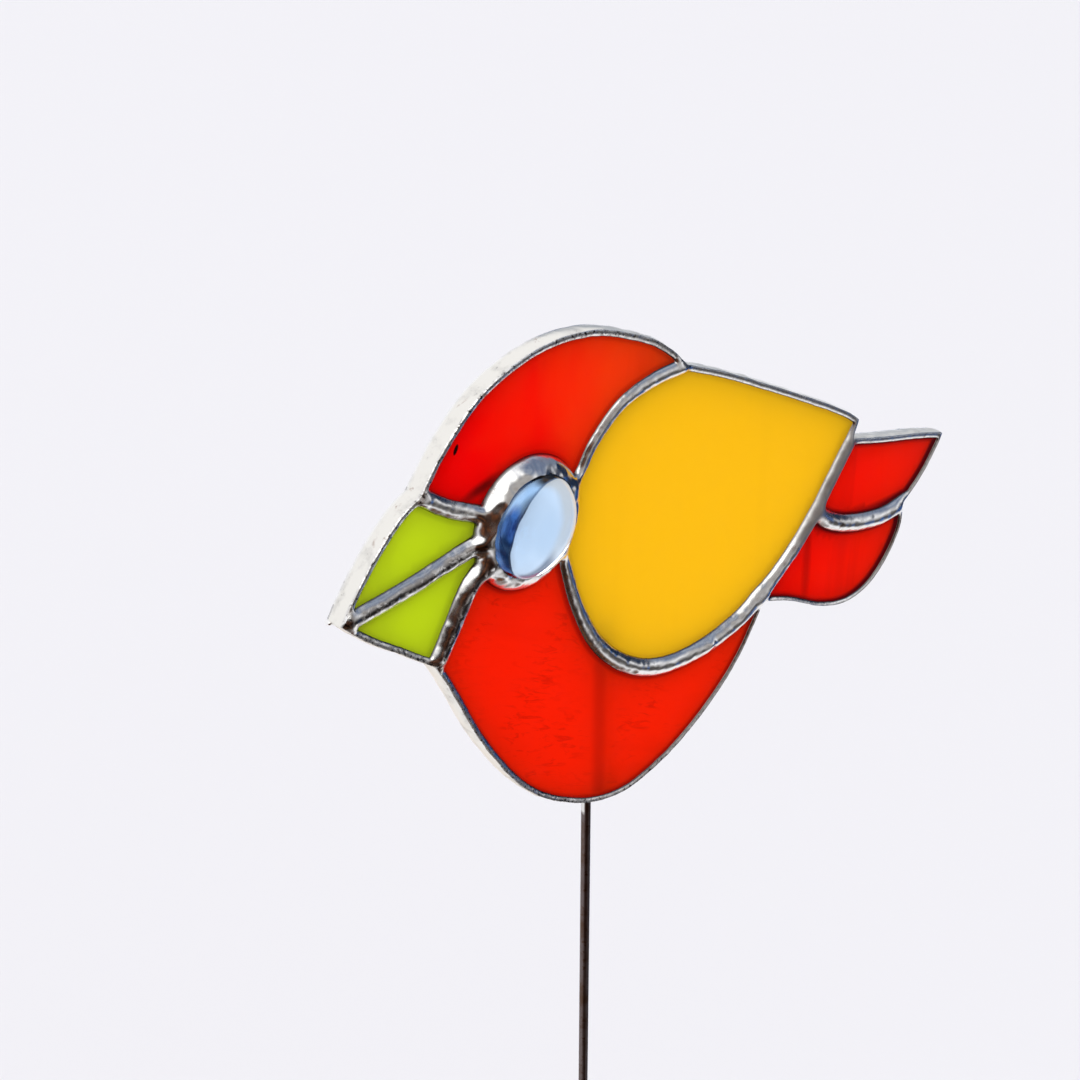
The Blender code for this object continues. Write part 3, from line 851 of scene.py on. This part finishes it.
@dataclass(frozen=True)
class SteelFinish:
    """Dark drawn steel, tinned where the solder ran onto it."""

    name: str = "dark_steel_rod"
    steel: Colour = (0.17, 0.135, 0.13)
    rust: Colour = (0.11, 0.065, 0.045)
    tin: Colour = (0.85, 0.83, 0.80)
    tinned_from: float = 0.2445

    def material(self) -> Material:
        """Build the material."""
        s = shading(self.name)
        drawn = s.grain(s.places(unit=(1.0, 1.0, 50.0)), 2600.0, 3.0)
        blotches = s.grain(s.places(), 180.0, 4.0, 0.6)
        specks = s.span(s.grain(s.places(), 1100.0, 3.0, 0.6), 0.56, 0.66)
        colour = s.blend(s.most(s.span(blotches, 0.45, 0.7), specks), self.steel, self.rust)
        apart = s.add("SeparateXYZ", Vector=s.places()).outputs
        ragged = s.plus(apart["Z"], s.times(blotches, 0.006))
        tinned = s.span(ragged, self.tinned_from + 0.003, self.tinned_from + 0.0045)
        beside = s.sum("SUBTRACT", s.times(apart["Y"], 0.69), s.times(apart["X"], 0.72))
        tinned = s.times(tinned, s.span(beside, 0.00015, 0.0004))
        colour = s.blend(tinned, colour, self.tin)
        rough = s.span(drawn, 0.3, 0.7, 0.28, 0.45)
        surface = s.add(
            "BsdfPrincipled", Base_Color=colour, Roughness=rough, Metallic=1.0,
            Normal=s.relief(drawn, 0.00002),
        )
        return s.finished(surface.outputs[0])


# Sub-assemblies


@dataclass
class SolderNet:
    """The metal: crowned seams, edging round the outline, the eye's collar and the stake's joints."""

    pattern: Pattern
    ring_spacing: float = 0.32
    front_spacing: float = 0.32
    back_spacing: float = 0.5
    front_rows: tuple[float, ...] = (0.08, 0.2)
    back_rows: tuple[float, ...] = (0.15,)
    corner_passes: int = 1
    front_fullness: float = 0.46
    back_fullness: float = 0.30
    steepness: float = 0.4
    highest_seam: float = 1.5
    front_shoulder: float = 0.3
    back_shoulder: float = 0.6
    swell: float = 0.25
    collar_radius: float = 9.35
    collar_height: float = 2.35
    collar_slant: float = 0.5
    collar_highest: float = 115.0
    bore_radius: float = 9.75
    back_opening: float = 10.2
    girth_height: float = 1.4
    seat_depth: float = 0.9
    seat_radius: float = 8.6
    hand_wobble: float = 0.06
    collar_wobble: float = 3.0
    ripple: float = 0.04
    unevenness: float = 0.16
    smoother_tail: tuple[Point, Point] = ((15.0, 45.0), (1.0, 0.35))
    seam_foot: float = 0.26
    collar_foot: float = 0.45
    collar_reach: float = 13.0
    lap_width: float = 0.8
    brighter_tail: tuple[Point, Point] = ((10.0, 30.0), (1.0, 0.3))
    lumps: tuple[tuple[float, float, float, float], ...] = (
        (27.4, 23.6, 1.1, 0.35),
        (-57.6, 59.2, 1.2, 0.35),
        (-42.0, 74.0, 1.3, 0.3),
        (-39.4, 45.4, 1.4, 0.3),
        (18.4, 81.0, 1.2, 0.25),
        (66.3, 53.4, 1.2, 0.25),
    )
    drop_radius: float = 0.55
    joint_half_width: float = 2.5
    joint_half_length: float = 4.5
    joint_cover: float = 1.65
    joint_heights: Point = (252.9, 281.0)

    def build(self, finish: SolderFinish) -> Thing:
        """Model the net and dress it.

        Args:
            finish: the metal's finish.

        Returns:
            The finished piece.
        """
        outer = self.wobbled(softened(evenly_spaced(self.pattern.outline(), self.ring_spacing), 1))
        windows = [
            self.wobbled(softened(evenly_spaced(window_edge(sides), self.ring_spacing), self.corner_passes))
            for sides in self.pattern.cells().values()
        ]
        count = round(2 * math.pi * self.collar_radius / self.ring_spacing)
        collar = self.wobbled(self.circle(self.collar_radius, count), self.collar_wobble)
        opening = self.circle(self.back_opening, count)
        front = Film.between(outer, windows + [collar], self.front_spacing, self.front_rows)
        back = Film.between(outer, windows + [opening], self.back_spacing, self.back_rows)
        front_rise = self.rise(front, Face.FRONT)
        back_rise = self.rise(back, Face.BACK)
        vertices = [
            *((x, GLASS_FRONT - rise, z) for (x, z), rise in zip(front.points, front_rise)),
            *((x, GLASS_BACK + rise, z) for (x, z), rise in zip(back.points, back_rise)),
        ]
        faces = [tuple(face) for face in front.triangles.tolist()]
        after_front = len(front.points)
        faces += [tuple(after_front + i for i in face[::-1]) for face in back.triangles.tolist()]
        for number in range(1, len(windows) + 1):
            self.join(faces, front.loops[number], back.loops[number] + after_front)
        self.wrap(vertices, faces, outer, front.loops[0], back.loops[0] + after_front)
        self.line_bore(vertices, faces, front.loops[-1], back.loops[-1] + after_front, count)
        net = meshed("solder_net", vertices, faces)
        closed_up(net, merge=2e-6, smooth_degrees=75.0)
        self.mark(net, outer, windows)
        joints = [self.joint(height) for height in self.joint_heights]
        select_only(net, *joints, self.drop())
        bpy.ops.object.join()
        dressed(net, finish.material())
        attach(net, "root")
        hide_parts("solder_seams")
        return net

    def circle(self, radius: float, count: int) -> Array:
        """A clockwise circle round the eye."""
        return np.array([self.pattern.eye_point(-360 * i / count, radius)[:] for i in range(count)])

    def wobbled(self, ring: Array, times: float = 1.0) -> Array:
        """The ring with a hand's unevenness across its line."""
        shift = waves(ring, 0.35, 3.1) + 0.6 * waves(ring, 1.1, 7.7)
        return ring + outward(ring) * shift[:, None] * self.hand_wobble * times

    def rise(self, film: Film, face: Face) -> Array:
        """Height of the metal above the glass at each point of a film."""
        front = face is Face.FRONT
        fullness = self.front_fullness if front else self.back_fullness
        held = {number: 0.0 for number in range(len(film.loops))}
        held[0] = self.bulge_for(self.front_shoulder if front else self.back_shoulder, fullness)
        if front:
            count = len(film.loops[-1])
            turns = -2 * math.pi * np.arange(count) / count - math.radians(self.collar_highest)
            lip = self.collar_height + self.collar_slant * np.cos(turns)
            held[len(film.loops) - 1] = self.bulge_for(lip, fullness)
        rise = self.rise_for(np.sqrt(2 * film.settled(held)), fullness)
        if not front:
            rise = self.highest_seam * np.tanh(rise / self.highest_seam)
        loose = np.clip(rise / 0.5, 0, 1)
        at, level = film.points, float(face.value)
        uneven = waves(at, 0.22, level * 5.0) * 0.9 + waves(at, 0.6, level * 9.0) * 0.5
        ripples = waves(at, 0.9, level * 3.0) + 0.3 * waves(at, 1.9, level * 7.0)
        ripples *= np.interp(at[:, 0], *self.smoother_tail)
        rippled = self.ripple * np.clip(rise / 0.25, 0, 1) * ripples
        rise = rise * (1 + self.unevenness * loose * uneven) + rippled
        if front:
            for x, z, radius, height in self.lumps:
                middle = self.pattern.place((x, z))
                away = np.linalg.norm(at - np.array(middle[:]), axis=1) / radius
                rise += height * np.exp(-away ** 2) * np.clip(rise / 0.3, 0, 1)
        return rise

    def rise_for(self, reach: Array, fullness: float) -> Array:
        """Height of the metal where a round bead would stand so high as the given reach."""
        return fullness * reach ** 2 / np.sqrt(reach + self.steepness)

    def bulge_for(self, rise: float | Array, fullness: float) -> float | Array:
        """The bulge whose metal stands so high above the glass."""
        reaches = np.linspace(0.0, 12.0, 2401)
        return np.interp(rise, self.rise_for(reaches, fullness), reaches) ** 2 / 2

    @staticmethod
    def join(faces: list[tuple[int, ...]], first: Array, second: Array) -> None:
        """Join two rings of point numbers by a band of four-sided faces."""
        for i in range(len(first)):
            faces.append((int(first[i - 1]), int(first[i]), int(second[i]), int(second[i - 1])))

    def wrap(self, vertices: list, faces: list, outer: Array, front: Array,
             back: Array) -> None:
        """Run the edging round the outer edge, from the front's shoulder to the back's."""
        normals = outward(outer)
        section = ((0.45, 0.06), (0.8, 0.2), (1.0, 0.5), (0.8, 0.8), (0.45, 0.94))
        last = front
        for swell, along in section:
            depth = GLASS_FRONT + along * (GLASS_BACK - GLASS_FRONT)
            uneven = 1 + 0.6 * waves(outer, 0.35, along * 1.5)
            dents = self.ripple * waves(outer, 0.9, along * 3) * min(swell, 0.8)
            out = self.swell * swell * uneven + dents
            ring = np.arange(len(vertices), len(vertices) + len(outer))
            vertices.extend((x, depth, z) for x, z in outer + normals * out[:, None])
            self.join(faces, last, ring)
            last = ring
        self.join(faces, last, back)

    def line_bore(self, vertices: list, faces: list, front: Array, back: Array,
                  count: int) -> None:
        """Line the eye's bore from the collar's lip down to the seat and out at the back."""
        seat = GLASS_FRONT + self.seat_depth
        section = (
            (self.bore_radius, GLASS_FRONT - self.girth_height),
            (self.bore_radius, seat),
            (self.seat_radius, seat),
        )
        last = front
        for radius, depth in section:
            ring = np.arange(len(vertices), len(vertices) + count)
            vertices.extend((x, depth, z) for x, z in self.circle(radius, count))
            self.join(faces, last, ring)
            last = ring
        self.join(faces, last, back)

    def mark(self, net: Thing, outer: Array, windows: list[Array]) -> None:
        """Write where the metal is thin at the glass and where it is edging, for its finish to read."""
        places = np.array([vertex.co[:] for vertex in net.data.vertices]) / MM
        flat = places[:, (0, 2)]
        to_glass = clearance(flat, windows)
        to_outer = clearance(flat, [outer])
        from_eye = np.linalg.norm(flat - np.array(self.pattern.place(self.pattern.eye)[:]), axis=1)
        width = np.where(from_eye < self.collar_reach, self.collar_foot, self.seam_foot)
        foot = np.exp(-(to_glass / width) ** 2)
        on_front = places[:, 1] < GLASS_FRONT + 0.05
        lap = np.where(on_front, np.clip(1.6 - to_outer / self.lap_width, 0, 1), 0.0)
        lap *= np.interp(flat[:, 0], *self.brighter_tail)
        inner = (places[:, 1] > GLASS_FRONT - 0.05) & (places[:, 1] < GLASS_BACK + 0.05)
        rim = np.where(inner & (to_outer < 1.0), 1.0, 0.0)
        below_lip = places[:, 1] > GLASS_FRONT - self.girth_height - 0.01
        # Where the bore's painted shade goes
        bore_shade = (from_eye < self.back_opening + 0.02) & below_lip
        borders = self.pattern.borders()
        worn = self.beside(flat, borders["wing_end"] + borders["tail_root"][-12:], 2.3, 2)
        crest = self.beside(flat, borders["throat"], 1.2, 2) + self.beside(flat, borders["bill"], 0.75, 2)
        crest = np.where(on_front, crest, 0.0)
        for name, values in (
            ("foot", foot), ("lap", lap), ("rim", rim), ("bore", bore_shade), ("worn", worn), ("crest", crest),
        ):
            write_values(net, name, values)

    @staticmethod
    def beside(places: Array, sides: list[Side], width: float, power: float) -> Array:
        """How near each place is to a seam's middle, from 1 down to 0."""
        middle = np.array([side.start[:] for side in sides])
        return np.exp(-(clearance(places, [middle]) / width) ** power)

    def drop(self) -> Thing:
        """The small drop of solder that hangs at the back of the beak's tip."""
        tip = self.pattern.place(self.pattern.beak_tip)
        clear_selection()
        bpy.ops.mesh.primitive_uv_sphere_add(
            segments=24, ring_count=16, radius=self.drop_radius * MM, scale=(1.1, 1.2, 0.8),
            location=(tip.x * MM, GLASS_BACK * MM, (tip.y - self.drop_radius / 2) * MM),
        )
        drop = named(bpy.context.object, "beak_drop")
        seated(drop)
        closed_up(drop, smooth_degrees=75.0)
        return drop

    def joint(self, height: float) -> Thing:
        """A rounded lump of solder that holds the rod to the back."""
        flat = GLASS_BACK + 0.3
        middle = flat * 0.3
        clear_selection()
        bpy.ops.mesh.primitive_uv_sphere_add(
            segments=48, ring_count=24, radius=MM, location=(0, middle * MM, height * MM),
            scale=(self.joint_half_width, self.joint_cover - middle, self.joint_half_length),
        )
        lump = named(bpy.context.object, "rod_joint")
        seated(lump)
        with editing(lump):
            bpy.ops.mesh.bisect(
                plane_co=(0, flat * MM, 0), plane_no=(0, -1, 0), use_fill=True, clear_outer=True
            )
        closed_up(lump, smooth_degrees=75.0)
        return lump


@dataclass
class EyeNugget:
    """The bird's eye: a flat-backed drop of cast glass."""

    pattern: Pattern
    radius: float = 9.6
    seat_radius: float = 8.9
    height: float = 6.5
    girth: float = 1.6
    squareness: float = 1.0
    back: float = -4.3
    turns: int = 96

    def build(self, finish: NuggetFinish) -> Thing:
        """Spin the nugget's section round its axis and dress it.

        Args:
            finish: the glass's finish.

        Returns:
            The finished piece.
        """
        centre = self.pattern.place(self.pattern.eye)
        middle = Vector((centre.x, self.back, centre.y)) * MM
        section = [Vector((radius, -height, 0.0)) * MM + middle for radius, height in self.section()]
        clear_selection()
        mesh = bpy.data.meshes.new("nugget_section")
        mesh.from_pydata([point[:] for point in section], [(i, i + 1) for i in range(len(section) - 1)], [])
        nugget = named(bpy.data.objects.new("eye_dome", mesh), "eye_dome")
        bpy.context.scene.collection.objects.link(nugget)
        with editing(nugget):
            bpy.ops.mesh.spin(steps=self.turns, angle=2 * math.pi, center=middle, axis=(0, 1, 0))
        closed_up(nugget, merge=4e-6, smooth_degrees=70.0)
        dressed(nugget, finish.material())
        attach(nugget, "root")
        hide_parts("eye_nugget")
        return nugget

    def section(self) -> list[Point]:
        """Radius and height of the nugget's section, from the middle of its back to its top."""
        points = [(0.0, 0.0), (self.seat_radius * 0.55, 0.0), (self.seat_radius * 0.95, 0.0)]
        for degrees in range(6, 91, 7):
            turn = math.radians(degrees)
            out = self.seat_radius + (self.radius - self.seat_radius) * math.sin(turn)
            points.append((out, self.girth * (1 - math.cos(turn))))
        for degrees in range(4, 90, 4):
            out = math.cos(math.radians(degrees)) ** self.squareness
            up = math.sin(math.radians(degrees)) ** self.squareness
            points.append((self.radius * out, self.girth + (self.height - self.girth) * up))
        points.append((0.0, self.height))
        return points


@dataclass
class Stake:
    """The steel rod that the bird stands on."""

    radius: float = 0.9
    chamfer: float = 0.15
    sides: int = 48

    def build(self, finish: SteelFinish) -> Thing:
        """Model the rod and dress it.

        Args:
            finish: the steel's finish.

        Returns:
            The finished piece.
        """
        low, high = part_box("stake")
        clear_selection()
        bpy.ops.mesh.primitive_cylinder_add(
            vertices=self.sides, radius=self.radius * MM, depth=high[2] - low[2],
            location=(0, 0, (low[2] + high[2]) / 2), end_fill_type="NGON",
        )
        rod = named(bpy.context.object, "steel_rod")
        seated(rod)
        points = rod.data.vertices
        for edge in rod.data.edges:
            first, second = edge.vertices
            edge.select = abs(points[first].co.z - points[second].co.z) < MM
        bpy.ops.object.mode_set(mode="EDIT")
        bpy.ops.mesh.select_mode(type="EDGE")
        bpy.ops.mesh.bevel(offset=self.chamfer * MM, segments=2, affect="EDGES")
        bpy.ops.object.mode_set(mode="OBJECT")
        closed_up(rod, smooth_degrees=40.0)
        dressed(rod, finish.material())
        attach(rod, "root")
        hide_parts("stake")
        return rod


@dataclass
class SheetGlass:
    """One pane, cut to the pattern from rolled sheet glass with a slightly wavy face."""

    node: str
    slot: str
    sides: list[Side]
    shade_side: Point
    under_edging: float = 0.6
    under_seam: float = 0.65
    ring_spacing: float = 0.6
    spacing: float = 1.3
    rows: tuple[float, ...] = (0.3, 0.6, 0.95, 1.4, 2.0)
    border: float = 0.6
    wave: float = 0.05

    def build(self, material: Material) -> Thing:
        """Cut the pane and dress it.

        Args:
            material: its glass.

        Returns:
            The finished piece.
        """
        hidden = [self.under_edging if side.kind is Border.EDGE else self.under_seam for side in self.sides]
        film = Film.between(evenly_spaced(moved_in(self.sides, hidden), self.ring_spacing), [],
                            self.spacing, self.rows)
        hollows = self.wave * np.abs(waves(film.points, 0.12, 2.0))
        vertices = [(x, GLASS_FRONT + wave, z) for (x, z), wave in zip(film.points, hollows)]
        vertices += [(x, GLASS_BACK - wave / 2, z) for (x, z), wave in zip(film.points, hollows)]
        count = len(film.points)
        faces = [tuple(face) for face in film.triangles.tolist()]
        faces += [tuple(count + i for i in face[::-1]) for face in film.triangles.tolist()]
        SolderNet.join(faces, film.loops[0], film.loops[0] + count)
        pane = meshed(self.node.replace("glass", "pane"), vertices, faces)
        # Painted shade: the edge values darken the glass near the solder, shifted to one side by shade_side
        window = evenly_spaced(window_edge(self.sides), 0.2)
        beside = film.points + np.array(self.shade_side)
        near = np.exp(-(clearance(beside, [window]) / self.border) ** 2)
        edge = np.where(inside(beside, window), near, 1.0)
        write_values(pane, "edge", np.concatenate([edge, edge]))
        closed_up(pane, merge=2e-6, smooth_degrees=50.0)
        dressed(pane, material)
        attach(pane, "root")
        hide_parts(self.node)
        return pane


@dataclass(frozen=True)
class Patch:
    """A round part of the room that is brighter or darker than the rest, in one shade or two that mingle.

    Its shade is full up to the near angle from its middle and gone at the far one, in degrees.
    """

    way: Colour
    near: float
    far: float
    shade: Colour
    other: Colour | None = None
    scale: float = 3.0

    def laid_over(self, s: Nodes, places: Socket, under: object) -> Socket:
        """Add the patch to a world's colour.

        Args:
            s: the world's nodes.
            places: the directions.
            under: the colour so far.

        Returns:
            The colour with the patch on it.
        """
        dot = s.add("VectorMath", {"operation": "DOT_PRODUCT"})
        s.feed(dot.inputs[0], places)
        dot.inputs[1].default_value = Vector(self.way).normalized()
        edge, core = (math.cos(math.radians(angle)) for angle in (self.far, self.near))
        share = s.span(dot.outputs["Value"], edge, core)
        if self.other is None:
            return s.blend(share, under, self.shade)
        mingled = s.span(s.grain(places, self.scale), 0.45, 0.65)
        return s.blend(share, under, s.blend(mingled, self.shade, self.other))


@dataclass
class Studio:
    """A pale floor, soft light from all round that is brightest behind the bird, and the camera."""

    target: tuple[float, float, float] = (-16.5, -4.9, 309.0)
    yaw: float = 43.5
    elevation: float = 26.0
    distance: float = 380.0
    lens: float = 75.0
    sensor: float = 36.0
    floor_size: float = 14.0
    floor_colour: Colour = (0.80, 0.784, 0.797)
    room: Colour = (0.95, 0.96, 1.0)
    light: float = 1.0
    lamp_strength: float = 2.4
    lamp_turn: float = 18.0
    lamp_height: float = 18.0
    lamp_softness: float = 50.0
    patches: tuple[Patch, ...] = (
        Patch((0.62, 0.44, -0.65), 20.0, 45.0, (0.96, 0.88, 0.83)),
        Patch((-0.10, -1.0, 0.15), 20.0, 62.0, (0.20, 0.19, 0.19), (0.44, 0.42, 0.41), 2.5),
        Patch((0.62, -0.44, 0.65), 12.0, 38.0, (0.12, 0.16, 0.26), (0.34, 0.39, 0.48), 3.0),
        Patch((0.62, -0.65, -0.44), 6.0, 26.0, (0.07, 0.065, 0.062), (0.34, 0.33, 0.32), 4.0),
        Patch((-0.42, -0.80, -0.30), 34.0, 50.0, (0.018, 0.010, 0.008), (0.15, 0.05, 0.018), 3.5),
        Patch((0.0, -0.35, -0.94), 14.0, 30.0, (0.03, 0.018, 0.014), (0.20, 0.09, 0.04), 3.5),
        Patch((-0.34, -0.58, 0.74), 18.0, 34.0, (1.7, 1.7, 1.7)),
        Patch((0.95, 0.0, 0.30), 10.0, 28.0, (0.17, 0.21, 0.29)),
        Patch((0.74, 0.65, -0.02), 12.0, 22.0, (0.24, 0.28, 0.36)),
        Patch((0.80, 0.42, -0.42), 19.0, 27.0, (0.93, 0.96, 1.03)),
        Patch((0.87, -0.26, -0.38), 13.0, 21.0, (0.012, 0.045, 0.17), (0.09, 0.20, 0.46), 6.0),
        Patch((0.96, -0.26, -0.04), 14.0, 22.0, (0.008, 0.02, 0.05)),
    )

    def build(self) -> None:
        """Set up the floor, the light and the camera."""
        self.add_floor()
        self.add_sky()
        self.add_lamp()
        self.add_camera()
        bpy.context.scene.view_settings.view_transform = "Standard"

    def add_lamp(self) -> None:
        """Hang a wide soft lamp low behind the bird, for the light that comes through the glass."""
        turn, tilt = math.radians(self.lamp_turn), math.radians(self.lamp_height)
        data = bpy.data.lights.new("back_lamp", "SUN")
        data.energy = self.lamp_strength
        data.angle = math.radians(self.lamp_softness)
        lamp = bpy.data.objects.new("back_lamp", data)
        lamp.rotation_euler = (math.pi / 2 - tilt, 0.0, math.pi - turn)
        lamp.location = (0.3, 0.3, 0.6)
        lamp.visible_glossy = False
        bpy.context.scene.collection.objects.link(lamp)

    def add_floor(self) -> None:
        """Lay a pale floor under the stake."""
        clear_selection()
        bpy.ops.mesh.primitive_plane_add(size=self.floor_size, location=(0, 0, -0.0002))
        floor = named(bpy.context.object, "studio_floor")
        s = shading("pale_floor")
        paper = s.add("BsdfPrincipled", Base_Color=self.floor_colour, Roughness=0.9, Specular_IOR_Level=0.1)
        dressed(floor, s.finished(paper.outputs[0]))
        floor.visible_glossy = False
        floor.visible_transmission = False

    def add_sky(self) -> None:
        """Light the scene from all round, darker on the viewer's side as in a room."""
        world = bpy.data.worlds.new("studio_light")
        bpy.context.scene.world = world
        s = Nodes(world, "OutputWorld")
        places = s.add("TexCoord").outputs["Generated"]
        colour = self.room
        for patch in self.patches:
            colour = patch.laid_over(s, places, colour)
        s.finished(s.add("Background", Color=colour, Strength=self.light).outputs[0])

    def add_camera(self) -> None:
        """Stand the camera where the photograph was taken from."""
        turn, tilt = math.radians(self.yaw), math.radians(self.elevation)
        ahead = Vector((math.sin(turn) * math.cos(tilt), math.cos(turn) * math.cos(tilt), -math.sin(tilt)))
        data = bpy.data.cameras.new("photo_camera")
        data.lens = self.lens
        data.sensor_width = self.sensor
        data.clip_start = 0.01
        camera = bpy.data.objects.new("photo_camera", data)
        camera.location = (Vector(self.target) - ahead * self.distance) * MM
        camera.rotation_euler = (math.pi / 2 - tilt, 0.0, -turn)
        bpy.context.scene.collection.objects.link(camera)
        bpy.context.scene.camera = camera


def main() -> None:
    """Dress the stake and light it."""
    logging.basicConfig(level=logging.INFO, format="%(name)s: %(message)s")
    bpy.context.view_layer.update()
    pattern = Pattern()
    head = GlassFinish(
        "streaky_red_glass", (0.40, 0.003, 0.001), (1.0, 0.001, 0.001), (1.0, 0.10, 0.008),
        lean=10.0, across=(-30.0, 4.0), streak_share=0.12,
        marks=(
            Mark(-35.0, 331.2, 0.45, 1.1, 25.0, 1.0, 0.7),
            # The first mark is a dark fleck in the glass; the second is a painted shadow beside the eye's
            # collar
            Mark(-29.5, 322.8, 1.6, 6.5, 75.0, 0.75, 0.1),
        ),
    ).material()
    breast = GlassFinish(
        "streaky_orange_red_glass", (0.33, 0.003, 0.001), (1.0, 0.036, 0.002), (1.0, 0.042, 0.002),
        lean=-65.0, streak_share=0.1, hair_share=0.3, painted_rod_shadow=0.28, edge_shade=0.75,
    ).material()
    tail = GlassFinish(
        "streaky_deep_red_glass", (0.09, 0.002, 0.006), (1.0, 0.008, 0.001), (1.0, 0.03, 0.002),
        across=(40.0, 90.0), streak_share=0.15, edge_shade=0.95,
        marks=(Mark(54.8, 280.0, 1.8, 14.0, 0.0, 0.3),),
    ).material()
    lime = GlassFinish(
        "lime_glass", (0.42, 0.52, 0.02), (0.735, 0.87, 0.027), (0.72, 0.87, 0.027), streak_share=0.08
    ).material()
    amber = GlassFinish(
        "golden_yellow_glass", (0.72, 0.45, 0.02), (1.0, 0.70, 0.022), (1.0, 0.705, 0.024),
        streak_share=0.04,
    ).material()
    cells = pattern.cells()
    for node, slot, glass in (
        ("head_glass", "red_glass", head),
        ("upper_beak_glass", "lime_glass", lime),
        ("lower_beak_glass", "lime_glass", lime),
        ("breast_glass", "orange_red_glass", breast),
        ("wing_glass", "yellow_glass", amber),
        ("upper_tail_glass", "red_glass", tail),
        ("lower_tail_glass", "red_glass", tail),
    ):
        shade_side = (1.1, -0.4) if glass is tail else (0.5, -0.15)
        pane = SheetGlass(node, slot, cells[node], shade_side).build(glass)
        LOG.info("piece: %s, %d faces", pane.name, len(pane.data.polygons))
    for piece in (
        SolderNet(pattern).build(SolderFinish()),
        EyeNugget(pattern).build(NuggetFinish()),
        Stake().build(SteelFinish()),
    ):
        LOG.info("piece: %s, %d faces", piece.name, len(piece.data.polygons))
    Studio().build()


if __name__ == "__main__":
    main()
